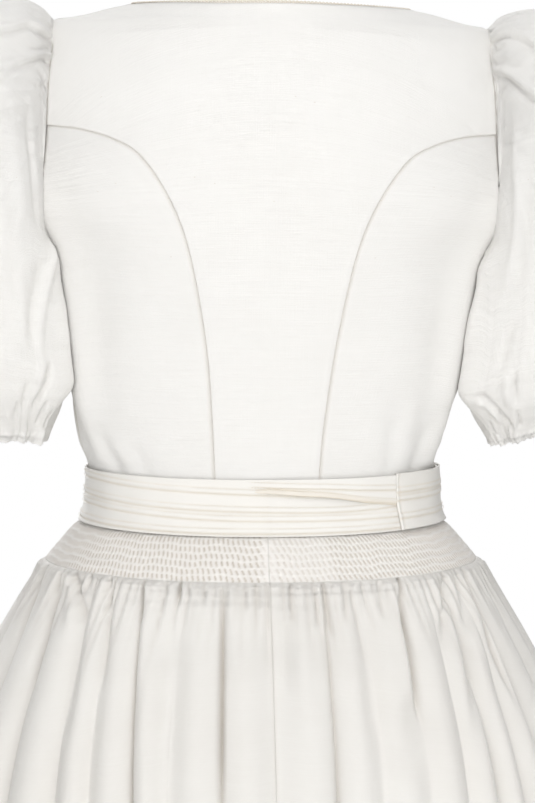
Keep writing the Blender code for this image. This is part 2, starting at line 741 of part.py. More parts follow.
def make_braid():
    """A round trim that stands on the neck edge."""
    places = braid_path()
    edge = np.array([torso(a, z, BODICE_CLOTH / 2) for a, z in places])
    tangents = np.gradient(edge, axis=0)
    tangents /= np.linalg.norm(tangents, axis=1, keepdims=True)
    cloth_normals = np.array([torso(a, z) - torso(a, z, BODICE_CLOTH) for a, z in places])
    cloth_normals /= np.linalg.norm(cloth_normals, axis=1, keepdims=True)
    away = np.cross(cloth_normals, tangents)
    away *= np.sign(away[len(away) // 2, 2])
    centres = edge + away * (BRAID_RADIUS + BRAID_GAP)
    directions = np.gradient(centres, axis=0)
    directions /= np.linalg.norm(directions, axis=1, keepdims=True)
    centres[0] += directions[0] * SEAM_GAP / 2
    centres[-1] -= directions[-1] * SEAM_GAP / 2
    rings = []
    out = away[0]
    for centre, direction in zip(centres, directions):
        out = out - direction * (out @ direction)
        out /= np.linalg.norm(out)
        beside = np.cross(direction, out)
        turns = [2 * math.pi * k / BRAID_SIDES for k in range(BRAID_SIDES)]
        rings.append([centre + BRAID_RADIUS * (out * math.cos(t) + beside * math.sin(t)) for t in turns])
    count = len(rings) * BRAID_SIDES
    numbers = np.arange(count).reshape(-1, BRAID_SIDES).tolist()
    faces = strip(numbers, False, True)
    faces += [tuple(numbers[0][::-1]), tuple(numbers[-1])]
    points = np.array(rings).reshape(-1, 3)
    mesh_object("neck_braid", points, faces, *BRAID_FINISH)


def make_buttons(front):
    """Covered buttons down the middle, each on the face of the right front."""
    edge_heights = front[: CLOSING_STEPS + 1, 0, 2]
    for number, z in enumerate(np.linspace(BUTTON_TOP_Z, BUTTON_BOTTOM_Z, BUTTON_COUNT), start=1):
        row = int(np.searchsorted(edge_heights, z)) - 1
        share = (z - edge_heights[row]) / (edge_heights[row + 1] - edge_heights[row])
        edge, beside = front[row, :2] * (1 - share) + front[row + 1, :2] * share
        across = (beside - edge) / np.linalg.norm(beside - edge)
        up = front[row + 1, 0] - front[row, 0]
        out = np.cross(across, up)
        out *= -np.sign(out[1]) / np.linalg.norm(out)
        up = np.cross(out, across)
        seat = edge + across * CLOSING_EDGE
        turns = [2 * math.pi * k / BUTTON_SIDES for k in range(BUTTON_SIDES)]
        rings = []
        for height, radius in BUTTON_PROFILE:
            centre = seat + out * (BUTTON_GAP + BUTTON_HEIGHT * height)
            rings.append(
                [centre + BUTTON_RADIUS * radius * (across * math.cos(t) + up * math.sin(t)) for t in turns]
            )
        numbers = np.arange(len(BUTTON_PROFILE) * BUTTON_SIDES).reshape(-1, BUTTON_SIDES).tolist()
        faces = strip(numbers, True, True) + [tuple(numbers[0]), tuple(numbers[-1][::-1])]
        mesh_object(f"button_{number}", np.array(rings).reshape(-1, 3), faces, *BUTTON_FINISH)


# Colour and roughness of each cloth
BODICE_FINISH = ((0.90, 0.895, 0.875), 0.85)
SLEEVE_FINISH = ((0.91, 0.905, 0.89), 0.85)
SKIRT_FINISH = ((0.86, 0.84, 0.80), 0.6)
SASH_FINISH = ((0.92, 0.91, 0.88), 0.45)
BRAID_FINISH = ((0.89, 0.875, 0.83), 0.6)
BUTTON_FINISH = ((0.90, 0.885, 0.85), 0.35)


def main():
    for old in list(bpy.data.objects):
        bpy.data.objects.remove(old, do_unlink=True)
    make_back()
    make_side_panels()
    front_faces = make_fronts()
    make_braid()
    make_buttons(front_faces["right"])
    make_sleeves()
    make_sash()
    make_smocking()
    make_skirt()


main()
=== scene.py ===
"""The looks of a dirndl dress: linen bodice and sleeves, satin sash, smocking and gathered skirt.

Every cloth is a thin closed shell on the form of its solid, with its creases given one by one.
Metres, +Z up, the front faces -Y and the wearer's left is +X. Angles round the body run from 0
at the centre back, through 90 degrees at the left side, to 180 at the centre front.
"""

import json
import math

import bmesh
import bpy
import numpy as np
from bpy.props import FloatProperty, FloatVectorProperty, IntProperty, PointerProperty
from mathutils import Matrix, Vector

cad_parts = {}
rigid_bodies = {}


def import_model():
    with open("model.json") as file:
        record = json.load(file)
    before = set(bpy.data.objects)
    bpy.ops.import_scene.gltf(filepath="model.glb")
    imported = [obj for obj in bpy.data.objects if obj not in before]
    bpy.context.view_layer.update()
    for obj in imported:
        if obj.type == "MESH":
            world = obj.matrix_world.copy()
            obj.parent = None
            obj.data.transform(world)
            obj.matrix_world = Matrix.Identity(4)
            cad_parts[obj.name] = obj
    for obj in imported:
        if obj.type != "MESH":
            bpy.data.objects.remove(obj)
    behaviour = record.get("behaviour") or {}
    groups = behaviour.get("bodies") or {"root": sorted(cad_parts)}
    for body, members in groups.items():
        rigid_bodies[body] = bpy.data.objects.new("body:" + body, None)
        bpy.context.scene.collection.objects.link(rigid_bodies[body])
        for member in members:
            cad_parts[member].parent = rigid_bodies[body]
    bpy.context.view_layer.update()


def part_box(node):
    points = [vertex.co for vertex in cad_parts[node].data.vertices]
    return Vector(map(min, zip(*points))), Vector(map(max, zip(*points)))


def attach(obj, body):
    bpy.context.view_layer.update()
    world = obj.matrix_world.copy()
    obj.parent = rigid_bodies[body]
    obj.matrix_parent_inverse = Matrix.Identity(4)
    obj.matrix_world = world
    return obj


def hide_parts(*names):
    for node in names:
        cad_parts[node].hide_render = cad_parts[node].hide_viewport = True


bl_info = {
    "name": "Dirndl dress",
    "version": (1, 0, 0),
    "blender": (4, 5, 0),
    "location": "3D View > Sidebar > Dress",
    "description": "Makes the cloths, trims and studio of a dirndl dress round its frame",
    "category": "Add Mesh",
}

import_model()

BODY_NAME = "root"

# The forms of the solids, as in the part

WAIST_SEAM = -0.345
SMOCKING_END = -0.396
GATHERS_START = -0.3925
HEM = -1.045
UNDERARM = -0.165
SEAM_GAP = 0.0004
SEWN_GAP = 0.00002

# Columns z, half_width, back_depth, front_depth, squareness
BODY = np.array((
    (-0.365, 0.13, 0.0925, 0.093, 2.25), (-0.345, 0.1258, 0.0885, 0.0895, 2.25),
    (-0.325, 0.1275, 0.0892, 0.091, 2.25), (-0.305, 0.1352, 0.0915, 0.0935, 2.25),
    (-0.26, 0.1448, 0.0965, 0.102, 2.3), (-0.22, 0.1505, 0.101, 0.11, 2.3),
    (-0.185, 0.156, 0.104, 0.115, 2.3), (-0.165, 0.162, 0.1045, 0.115, 2.3),
    (-0.135, 0.18, 0.104, 0.111, 2.3), (-0.105, 0.1865, 0.102, 0.104, 2.3),
    (-0.07, 0.185, 0.097, 0.094, 2.25), (-0.04, 0.178, 0.089, 0.083, 2.1), (-0.02, 0.1705, 0.082, 0.074, 1.9),
    (0.0, 0.159, 0.0735, 0.064, 1.75), (0.0035, 0.141, 0.0715, 0.062, 1.75),
    (0.011, 0.114, 0.0675, 0.0575, 1.75), (0.014, 0.098, 0.066, 0.0555, 1.75),
    (0.017, 0.085, 0.065, 0.054, 1.75),
))
CUP_X, CUP_Z = 0.076, -0.160
CUP_REACH_X, CUP_REACH_Z = 0.046, 0.042
CUP_DEPTH = 0.024
BRIDGED_HALF_WIDTH = 0.030
BACK_CORNER = 0.017
LEAN = 0.021
LEAN_RAMP = 0.10

# Columns distance from the centre, z
BACK_SEAM = (
    (0.0365, -0.345), (0.0398, -0.292), (0.0466, -0.2315), (0.0591, -0.169), (0.0735, -0.131),
    (0.0953, -0.099), (0.116, -0.0865), (0.14, -0.08), (0.1632, -0.078),
)
FRONT_SEAM = (
    (0.048, -0.345), (0.06, -0.28), (0.072, -0.22), (0.08, -0.165), (0.093, -0.128), (0.118, -0.104),
    (0.1452, -0.096),
)
# Columns z, distance from the centre at the back, and at the front
ARMHOLE = np.array((
    (0.0, 0.159, 0.159), (-0.02, 0.1605, 0.1535), (-0.05, 0.163, 0.1475), (-0.078, 0.1632, 0.145),
    (-0.096, 0.164, 0.1452), (-0.125, 0.166, 0.151), (-0.15, 0.1655, 0.1585), (-0.165, 0.162, 0.162),
))
NECK_POINT_Z = 0.013
BACK_NECK_Z = 0.0131
FRONT_NECK = (
    (0.0, -0.116), (0.03, -0.1135), (0.062, -0.101), (0.088, -0.073), (0.1, -0.037), (0.105, 0.013),
)
CLOSING_EDGE = 0.008

# Columns top_x, top_z, under_z, clear of the body, half depth, gathers at the head, at the cuff
SLEEVE_RINGS = (
    (0.169, 0.009, -0.171, 0.0, 0.068, 0.001, 0.0), (0.185, 0.0135, -0.179, 0.0, 0.079, 0.003, 0.0),
    (0.209, 0.013, -0.19, 0.0, 0.086, 0.0038, 0.0), (0.242, 0.004, -0.207, 0.0, 0.0905, 0.003, 0.0),
    (0.274, -0.018, -0.224, 0.0, 0.0915, 0.0016, 0.0), (0.296, -0.068, -0.24, 0.0, 0.0905, 0.0006, 0.0),
    (0.304, -0.13, -0.253, 0.0, 0.088, 0.0, 0.0004), (0.302, -0.195, -0.266, 0.001, 0.084, 0.0, 0.0012),
    (0.288, -0.252, -0.281, 0.006, 0.074, 0.0, 0.0026), (0.262, -0.286, -0.297, 0.016, 0.056, 0.0, 0.003),
    (0.257, -0.2985, -0.3065, 0.022, 0.0515, 0.0, 0.0026),
)
SLEEVE_CLEARANCE = 0.0022
SLEEVE_SQUARENESS = 2.25
SLEEVE_WAVES = 10
# The rings are squarer towards the cuff, and keep this share of the solid's waves
SQUARED_BY_RING, MOST_SQUARED, WAVES_KEPT = 0.16, 1.2, 0.55

# Columns z, half_width, back_depth, front_depth
SKIRT = np.array((
    (-0.345, 0.1262, 0.0888, 0.0898), (-0.362, 0.1318, 0.096, 0.0955), (-0.368, 0.1392, 0.1015, 0.099),
    (-0.38, 0.15, 0.1125, 0.107), (-0.396, 0.163, 0.127, 0.117), (-0.424, 0.1815, 0.15, 0.134),
    (-0.462, 0.204, 0.177, 0.154), (-0.52, 0.235, 0.208, 0.18), (-0.6, 0.268, 0.237, 0.208),
    (-0.72, 0.306, 0.27, 0.239), (-0.88, 0.346, 0.303, 0.27), (-1.045, 0.378, 0.329, 0.294),
))
SKIRT_SQUARENESS = 2.2
# Columns z, dip
BACK_DIP = np.array(
    ((-1.045, 0.0), (-0.62, 0.0), (-0.396, 0.0075), (-0.362, 0.0062), (-0.325, 0.0042), (-0.28, 0.0))
)
# Columns degrees at the smocking, degrees 0.18 m lower, depth against the deepest, and softness
# of the crease, of which less than 1 is sharp
LEFT_BACK_FOLDS = (
    (10.2, 7.1, 1.1, 0.2), (21.0, 15.5, 0.4, 1.3), (31.5, 21.3, 1.0, 0.42), (40.5, 29.5, 0.5, 1.2),
    (49.0, 37.0, 0.75, 1.1), (62.0, 49.5, 0.9, 0.9), (74.0, 63.5, 0.8, 0.8), (83.0, 77.0, 0.8, 0.8),
)
RIGHT_BACK_FOLDS = (
    (11.5, 8.3, 0.9, 0.4), (21.5, 16.0, 0.45, 1.2), (32.5, 23.5, 0.3, 1.3), (41.5, 31.5, 0.5, 1.1),
    (49.5, 38.5, 0.7, 1.0), (55.5, 45.0, 0.5, 0.9), (61.0, 52.5, 1.0, 0.5), (71.0, 66.0, 0.8, 0.8),
    (81.0, 79.0, 0.8, 0.8),
)
LEFT_FRONT_FOLDS = (
    (10, 8, 0.8, 0.8), (21, 17, 0.9, 0.6), (33, 27, 0.6, 1.2), (43, 38, 0.95, 0.55), (54, 48, 0.6, 1.0),
    (64, 60, 0.9, 0.7), (77, 75, 0.8, 0.8),
)
RIGHT_FRONT_FOLDS = (
    (11, 9, 0.9, 0.7), (23, 19, 0.6, 1.1), (34, 29, 1.0, 0.5), (45, 39, 0.65, 1.1), (57, 51, 0.9, 0.7),
    (67, 63, 0.7, 0.9), (79, 76, 0.9, 0.7),
)
SEAM_FOLD_DEPTH = 0.4
FOLDS_HANG_AT = -0.575
HEM_EVENNESS = 0.45
# Columns z, depth of the deepest fold
FOLD_DEPTH = np.array((
    (-1.045, 0.031), (-0.88, 0.028), (-0.72, 0.0245), (-0.575, 0.0195), (-0.462, 0.012), (-0.42, 0.0065),
    (-0.396, 0.0028),
))
SASH_TOP, SASH_BOTTOM, SASH_HEIGHT = -0.3245, -0.3630, 0.0385
# About how far the cloth is from the dress's middle
WAIST_RADIUS, SMOCKING_RADIUS, SKIRT_SEAM_RADIUS = 0.115, 0.13, 0.16
SASH_CLOTH = 0.0014
SASH_CLEARANCE = 0.0014
LAID_ON_GAP = 0.0004
SASH_STANDS_OFF = np.array(((0.0, 0.0), (0.5, 0.0026), (1.0, 0.0030)))
SASH_COLUMNS = 54
CROSSING_START, JOINING_SEAM, LAPPED_END = 0.9, -6.6, -29
# Columns degrees, top, bottom, as shares of the sash's height
CROSSING_LAYER = np.array((
    (6, 0.0, 0.205), (0, 0.0, 0.24), (-7, 0.0, 0.28), (-16, 0.0, 0.32), (-31, 0.0, 0.46), (-47.5, 0.0, 0.58),
))
BUTTON_COUNT = 6
BUTTON_TOP_Z, BUTTON_BOTTOM_Z = -0.128, -0.308

# Creases of the bodice, columns start_x, start_z, end_x, end_z, width, height. Below zero is a trough.
BACK_CREASES = (
    (0.15, -0.262, 0.124, -0.322, 0.005, -0.0024), (0.138, -0.268, 0.112, -0.33, 0.006, 0.0022),
    (0.126, -0.292, 0.101, -0.331, 0.0045, -0.002), (0.112, -0.3, 0.09, -0.334, 0.005, 0.0012),
    (0.096, -0.306, 0.081, -0.334, 0.005, -0.001), (0.12, -0.16, 0.128, -0.27, 0.016, -0.0014),
    (0.07, -0.21, 0.062, -0.32, 0.014, -0.0007), (-0.147, -0.262, -0.128, -0.322, 0.005, -0.0022),
    (-0.133, -0.282, -0.117, -0.33, 0.0055, 0.002), (-0.119, -0.29, -0.105, -0.332, 0.0045, -0.0018),
    (-0.106, -0.27, -0.098, -0.332, 0.006, 0.0012), (-0.092, -0.28, -0.088, -0.333, 0.005, -0.001),
    (-0.122, -0.15, -0.126, -0.26, 0.016, -0.0013), (-0.06, -0.23, -0.058, -0.32, 0.014, -0.0006),
    (0.02, -0.05, -0.03, -0.062, 0.012, -0.0005), (0.13, -0.03, 0.09, -0.052, 0.01, -0.0006),
    (-0.135, -0.034, -0.092, -0.058, 0.01, -0.0006),
)
FRONT_CREASES = (
    (0.146, -0.258, 0.116, -0.326, 0.0055, -0.0022), (0.131, -0.27, 0.1, -0.33, 0.006, 0.0018),
    (0.112, -0.285, 0.084, -0.333, 0.005, -0.0016), (0.075, -0.225, 0.052, -0.32, 0.011, -0.001),
    (0.14, -0.12, 0.112, -0.15, 0.008, -0.0014), (-0.146, -0.252, -0.12, -0.324, 0.0055, -0.0022),
    (-0.13, -0.276, -0.103, -0.33, 0.006, 0.0018), (-0.11, -0.28, -0.09, -0.333, 0.005, -0.0015),
    (-0.072, -0.222, -0.056, -0.322, 0.011, -0.001), (-0.141, -0.122, -0.11, -0.146, 0.008, -0.0014),
    (0.034, -0.232, -0.02, -0.246, 0.007, -0.0007), (-0.036, -0.262, 0.018, -0.276, 0.007, -0.0007),
)

# Creases of the sleeves. Each line runs through places (degrees round the ring from the top towards
# the back, rings down from the armhole). Then come its width, its height, and how much steeper its
# lower side is. Below zero is a trough.
LEFT_SLEEVE_CREASES = (
    (((80, 4.4), (72, 3.6), (69, 3.1), (65, 2.7), (61, 2.2), (59, 1.7), (56, 1.1), (48, 0.0)), 0.0056, 0.0028,
     1.6),
    (((82, 4.6), (73, 3.7), (71, 3.2), (67, 2.8), (64, 2.3), (62, 1.8), (59, 1.1), (51, 0.0)), 0.0034,
     -0.0024, 1),
    (((47, 3.8), (45, 3.1), (44, 2.8), (41, 2.2), (37, 1.6), (38, 1.1), (34, 0.2)), 0.0042, 0.0024, 1.5),
    (((50, 3.6), (46, 2.9), (44, 2.3), (41, 1.7), (42, 1.1), (37, 0.1)), 0.0026, -0.0024, 1),
    (((52, 1.8), (53, 1.2), (44, 0.0)), 0.0018, -0.002, 1),
    (((72, 1.5), (72, 0.9), (65, 0.0)), 0.002, -0.001, 1),
    (((70, 1.5), (70, 0.9), (62, 0.0)), 0.0026, 0.001, 1),
    (((24, 0.1), (21, 0.7), (16, 1.2), (13, 1.8)), 0.0012, -0.0016, 1),
    (((29, 0.1), (28, 0.8), (27, 1.4), (23, 1.9)), 0.0012, -0.0013, 1),
    (((78, 1.8), (90, 2.2), (100, 2.4), (115, 2.9), (123, 3.4)), 0.009, -0.002, 1),
    (((77, 2.7), (88, 3.1), (103, 3.6), (115, 4.1)), 0.01, 0.0012, 1),
    (((140, 2.0), (138, 3.4), (135, 4.8), (132, 6.0), (130, 7.5)), 0.0044, 0.003, 1),
    (((130, 3.7), (129, 5.0), (126, 6.1), (124, 7.5)), 0.007, -0.0026, 1),
    (((138, 7.2), (134, 7.9), (129, 8.5), (125, 9.0), (124, 9.4)), 0.0026, -0.0034, 1),
    (((133, 7.3), (129, 7.9), (125, 8.5), (120, 9.0)), 0.004, 0.0026, 1),
    (((120, 8.3), (117, 8.7), (115, 9.1), (115, 9.5)), 0.0028, -0.0026, 1),
    (((112, 9.0), (110, 9.3), (107, 9.7)), 0.0022, -0.0026, 1),
    (((134, 8.8), (133, 9.3), (132, 9.8)), 0.002, -0.0026, 1),
    (((144, 9.1), (142, 9.6), (141, 10.0)), 0.002, -0.0028, 1),
    (((157, 8.7), (159, 9.3), (164, 9.8)), 0.002, -0.002, 1),
    (((85, 3.5), (97, 4.0), (108, 5.1), (116, 6.3)), 0.009, -0.0018, 1),
    (((114, 5.0), (120, 6.1), (117, 7.4)), 0.006, 0.0014, 1),
    (((62, 4.0), (60, 6.4), (50, 8.8)), 0.009, -0.0034, 1),
    (((40, 4.6), (39, 6.8), (30, 9.0)), 0.009, 0.003, 1),
    (((20, 4.0), (16, 6.3), (12, 8.6)), 0.009, -0.003, 1),
    (((206, 4.0), (210, 6.7), (214, 9.4)), 0.007, -0.003, 1),
    (((232, 2.0), (240, 4.0), (240, 6.0)), 0.008, -0.0036, 1),
    (((262, 1.0), (251, 4.2), (250, 7.4)), 0.008, 0.0036, 1),
    (((286, 0.0), (275, 2.3), (276, 4.4)), 0.005, -0.0036, 1.3),
    (((306, 0.0), (308, 1.8), (298, 3.4)), 0.005, 0.0032, 1.3),
    (((322, 0.0), (324, 1.7), (318, 3.2)), 0.0044, -0.0032, 1.2),
    (((344, 0.0), (347, 1.5), (342, 2.8)), 0.0046, 0.0022, 1),
    (((276, 6.4), (279, 8.0), (282, 9.6)), 0.005, -0.0036, 1.2),
    (((312, 5.0), (315, 7.1), (318, 9.2)), 0.008, -0.0034, 1),
    (((246, 7.0), (249, 8.3), (252, 9.6)), 0.005, -0.0032, 1),
)
RIGHT_SLEEVE_CREASES = (
    (((52, 0.0), (60, 1.0), (64, 1.6), (68, 2.1), (72, 2.6), (75, 3.2), (84, 4.2)), 0.0066, 0.0046, 2.0),
    (((54, 0.0), (63, 1.0), (66, 1.4), (69, 1.9), (73, 2.4), (76, 2.9), (86, 3.8)), 0.0028, -0.003, 1),
    (((27, 0.2), (32, 1.2), (35, 1.6), (40, 2.0), (45, 2.4), (54, 3.2)), 0.004, 0.0024, 1.6),
    (((30, 0.1), (37, 1.1), (40, 1.5), (44, 2.0), (48, 2.4), (56, 3.0)), 0.0024, -0.0024, 1),
    (((14, 0.1), (12, 0.9), (8, 1.6), (4, 2.4)), 0.0013, -0.002, 1),
    (((19, 0.0), (16, 0.5), (17, 1.2), (16, 1.9)), 0.0013, -0.0016, 1),
    (((44, 0.2), (50, 1.1), (54, 1.8), (59, 2.4)), 0.007, 0.0022, 1),
    (((63, 0.2), (69, 1.1), (68, 1.6)), 0.0022, -0.0014, 1),
    (((68, 0.3), (70, 1.1), (72, 1.7), (75, 2.3)), 0.004, 0.0014, 1),
    (((78, 1.5), (93, 2.3), (108, 3.3), (121, 4.2), (131, 5.3)), 0.008, 0.0018, 1),
    (((86, 2.8), (99, 3.6), (111, 4.5), (122, 5.7)), 0.01, -0.0018, 1),
    (((137, 2.6), (147, 4.3), (152, 6.2)), 0.008, 0.0018, 1),
    (((147, 8.5), (142, 8.4), (136, 8.4), (129, 8.8), (124, 9.2), (116, 9.7), (112, 10.1)), 0.0026, -0.0036,
     1),
    (((144, 8.8), (138, 8.7), (133, 8.8), (128, 9.2), (123, 9.6)), 0.0044, 0.0034, 1),
    (((117, 7.9), (114, 8.4), (111, 8.9)), 0.0026, -0.0028, 1),
    (((122, 7.9), (119, 8.5), (114, 9.1)), 0.0044, 0.0024, 1), (((30, 0.0), (42, 0.4)), 0.0018, -0.0018, 1),
    (((42, 0.0), (52, 0.4)), 0.0018, -0.0018, 1), (((111, 9.1), (109, 9.5), (107, 9.9)), 0.002, -0.0026, 1),
    (((139, 9.3), (137, 9.7), (134, 10.1)), 0.002, -0.0026, 1),
    (((155, 8.7), (147, 9.3), (142, 9.8)), 0.0024, -0.0024, 1),
    (((123, 6.0), (125, 6.8), (126, 7.8)), 0.007, -0.002, 1),
    (((58, 5.0), (56, 7.0), (50, 9.0)), 0.009, -0.0032, 1),
    (((36, 4.2), (34, 6.4), (28, 8.6)), 0.009, 0.003, 1),
    (((14, 4.6), (11, 6.7), (8, 8.8)), 0.009, -0.003, 1),
    (((200, 4.4), (206, 6.9), (210, 9.4)), 0.007, -0.003, 1),
    (((228, 2.0), (235, 4.2), (236, 6.4)), 0.008, -0.0034, 1),
    (((258, 1.0), (248, 4.0), (246, 7.0)), 0.008, 0.0036, 1),
    (((282, 0.0), (272, 2.1), (272, 4.0)), 0.005, -0.0036, 1.3),
    (((302, 0.0), (302, 2.0), (292, 3.8)), 0.005, 0.0034, 1.3),
    (((318, 0.0), (320, 1.6), (314, 3.0)), 0.0044, -0.0032, 1.2),
    (((340, 0.0), (345, 1.6), (338, 3.0)), 0.0046, 0.0022, 1),
    (((272, 6.8), (275, 8.2), (278, 9.6)), 0.005, -0.0036, 1.2),
    (((308, 5.4), (312, 7.4), (316, 9.4)), 0.008, -0.0034, 1),
    (((242, 7.2), (245, 8.4), (248, 9.6)), 0.005, -0.0032, 1),
)
# Small pleats at the sleeve head, columns degrees, width in degrees, depth, rings that it reaches
HEAD_PLEATS = (
    (-96, 2.6, 0.0016, 1.6), (-84, 3.0, 0.002, 2.0), (-71, 2.4, 0.0018, 1.7), (-60, 3.0, 0.0022, 2.2),
    (-49, 2.2, 0.0018, 1.6), (-39, 2.6, 0.0024, 2.3), (-29, 2.2, 0.002, 1.8), (-20, 2.0, 0.0022, 2.6),
    (-12, 1.8, 0.002, 1.9), (-5, 1.8, 0.0022, 2.8), (2, 1.7, 0.002, 2.0), (9, 1.9, 0.0022, 3.0),
    (17, 1.8, 0.002, 2.0), (25, 2.2, 0.0024, 2.4), (34, 2.0, 0.0018, 1.4), (43, 2.4, 0.0024, 2.2),
    (54, 2.2, 0.0022, 1.6), (64, 2.4, 0.0024, 1.8), (75, 2.4, 0.0016, 1.2), (86, 2.6, 0.0014, 1.2),
)

# Creases of the skirt that are deeper or lie otherwise than the folds. Each line runs through places
# (degrees, z). Then come its width and its height, below zero for a trough.
SKIRT_CREASES = (
    (((31.5, -0.393), (30.0, -0.406), (29.0, -0.424)), 0.0016, -0.0046),
    (((29.6, -0.394), (28.2, -0.408), (27.2, -0.43), (25.2, -0.47)), 0.0036, 0.0022),
    (((10.3, -0.396), (9.6, -0.417), (9.1, -0.437), (8.6, -0.47), (8.0, -0.51), (7.6, -0.545)), 0.0018,
     -0.0034),
    (((7.6, -0.396), (6.8, -0.42), (6.2, -0.46)), 0.0045, 0.002),
    (((-4.0, -0.393), (-3.8, -0.411), (-3.4, -0.422)), 0.0012, -0.0036),
    (((-9.2, -0.393), (-9.4, -0.405), (-8.8, -0.424)), 0.0016, -0.0036),
    (((-11.5, -0.394), (-11.6, -0.412), (-11.6, -0.431)), 0.0018, -0.004),
    (((-6.0, -0.398), (-5.0, -0.43), (-4.8, -0.457), (-4.2, -0.498)), 0.0045, 0.0022),
    (((-2.2, -0.403), (-2.0, -0.437), (-1.6, -0.47)), 0.0035, -0.0022),
    (((22.0, -0.418), (20.2, -0.444), (19.2, -0.471), (19.8, -0.499), (20.8, -0.522)), 0.011, -0.0034),
    (((24.6, -0.44), (22.6, -0.48), (21.4, -0.505)), 0.01, 0.0024),
    (((-21.5, -0.398), (-19.0, -0.432), (-17.3, -0.472), (-17.0, -0.492), (-17.5, -0.514)), 0.0062, -0.0026),
    (((-33.2, -0.394), (-30.2, -0.42), (-29.2, -0.44), (-27.4, -0.474), (-27.0, -0.5)), 0.0024, -0.0062),
    (((-30.8, -0.396), (-27.9, -0.422), (-26.8, -0.444), (-25.2, -0.476)), 0.0044, 0.0026),
    (((-28.0, -0.47), (-24.0, -0.495), (-20.0, -0.524)), 0.0115, -0.0042),
    (((-49.8, -0.396), (-42.5, -0.423), (-38.5, -0.443)), 0.0034, -0.0042),
    (((-56.2, -0.398), (-47.2, -0.439), (-41.8, -0.472), (-36.6, -0.518)), 0.0055, -0.0044),
    (((-60.5, -0.396), (-57.7, -0.421), (-54.8, -0.441), (-53.8, -0.458), (-53.2, -0.49)), 0.0024, -0.0062),
    (((-57.0, -0.398), (-54.0, -0.422), (-51.4, -0.446), (-50.0, -0.48)), 0.005, 0.003),
    (((56.0, -0.395), (50.3, -0.41), (45.6, -0.427)), 0.0022, -0.004),
    (((58.5, -0.396), (52.6, -0.413), (47.4, -0.432)), 0.0036, 0.0026),
    (((64.0, -0.397), (60.3, -0.42), (57.2, -0.447), (54.2, -0.481)), 0.003, -0.0044),
    (((49.2, -0.397), (45.2, -0.436), (41.5, -0.47), (38.2, -0.51)), 0.006, -0.0036),
    (((42.2, -0.395), (36.8, -0.434), (33.8, -0.474)), 0.003, -0.0034),
    (((76.2, -0.397), (72.8, -0.424), (69.2, -0.452)), 0.0026, -0.004),
    (((21.2, -0.393), (20.4, -0.408)), 0.0018, -0.0036), (((14.5, -0.393), (14.5, -0.405)), 0.0018, -0.003),
    (((5.0, -0.394), (5.2, -0.412)), 0.0018, -0.0034), (((2.2, -0.394), (2.0, -0.411)), 0.0016, -0.0028),
    (((-17.0, -0.394), (-15.2, -0.422)), 0.002, -0.0036), (((-26.5, -0.393), (-24.6, -0.42)), 0.002, -0.0036),
    (((132.0, -0.397), (134.5, -0.43), (136.0, -0.47)), 0.003, -0.0044),
    (((152.0, -0.397), (154.0, -0.42), (155.0, -0.45)), 0.0026, -0.004),
    (((171.0, -0.397), (171.6, -0.44), (172.0, -0.48)), 0.003, -0.0036),
    (((-128.0, -0.397), (-130.6, -0.44), (-132.0, -0.48)), 0.003, -0.0044),
    (((-149.0, -0.397), (-151.0, -0.418), (-152.0, -0.44)), 0.0026, -0.004),
    (((-168.0, -0.397), (-168.6, -0.43), (-169.0, -0.46)), 0.003, -0.0036),
    (((112.0, -0.397), (108.0, -0.44), (107.0, -0.5)), 0.006, -0.004),
    (((-106.0, -0.397), (-110.0, -0.43), (-113.0, -0.49)), 0.006, -0.004),
)

# The sash's sewn tucks, columns degrees from the centre back, and each tuck's place as a share of
# the height
SASH_TUCKS = np.array((
    (-180, 0.12, 0.42, 0.62, 0.9), (-60, 0.12, 0.42, 0.68, 0.9), (-50, 0.22, 0.5, 0.7, 0.9),
    (-20, 0.27, 0.545, 0.69, 0.9), (8, 0.21, 0.515, 0.675, 0.9), (40, 0.16, 0.47, 0.625, 0.89),
    (75, 0.1, 0.41, 0.58, 0.87), (120, 0.12, 0.42, 0.6, 0.88), (180, 0.12, 0.42, 0.62, 0.9),
))
SIDE_LENGTH_TUCKS = (0.27, 0.42, 0.74)
CROSSING_TUCKS = (0.40, 0.86)


# Numbers


def smooth_step(value):
    value = np.clip(value, 0.0, 1.0)
    return value * value * (3 - 2 * value)


def column(table, at, index):
    """One column of a table at values of the first, on a curve that never overshoots."""
    rows = np.array(sorted(map(tuple, table)))
    xs, ys = rows[:, 0], rows[:, index]
    slopes = np.diff(ys) / np.diff(xs)
    before, after = slopes[:-1], slopes[1:]
    both = before * after
    inner = np.where(both > 0, 2 * both / np.where(both > 0, before + after, 1.0), 0.0)
    tangents = np.concatenate([[slopes[0]], inner, [slopes[-1]]])
    at = np.clip(np.asarray(at, float), xs[0], xs[-1])
    i = np.clip(np.searchsorted(xs, at, side="right") - 1, 0, len(xs) - 2)
    width = xs[i + 1] - xs[i]
    t = (at - xs[i]) / width
    return (
        (2 * t**3 - 3 * t**2 + 1) * ys[i]
        + (t**3 - 2 * t**2 + t) * width * tangents[i]
        + (3 * t**2 - 2 * t**3) * ys[i + 1]
        + (t**3 - t**2) * width * tangents[i + 1]
    )


def padded(points):
    """The points with one more at each end, straight on."""
    return np.concatenate([[2 * points[0] - points[1]], points, [2 * points[-1] - points[-2]]])


def between_points(a, b, c, d, t):
    """A share of the way from b to c, on a smooth curve through all four."""
    return 0.5 * (2 * b + (c - a) * t + (2 * a - 5 * b + 4 * c - d) * t**2 + (3 * b - a - 3 * c + d) * t**3)


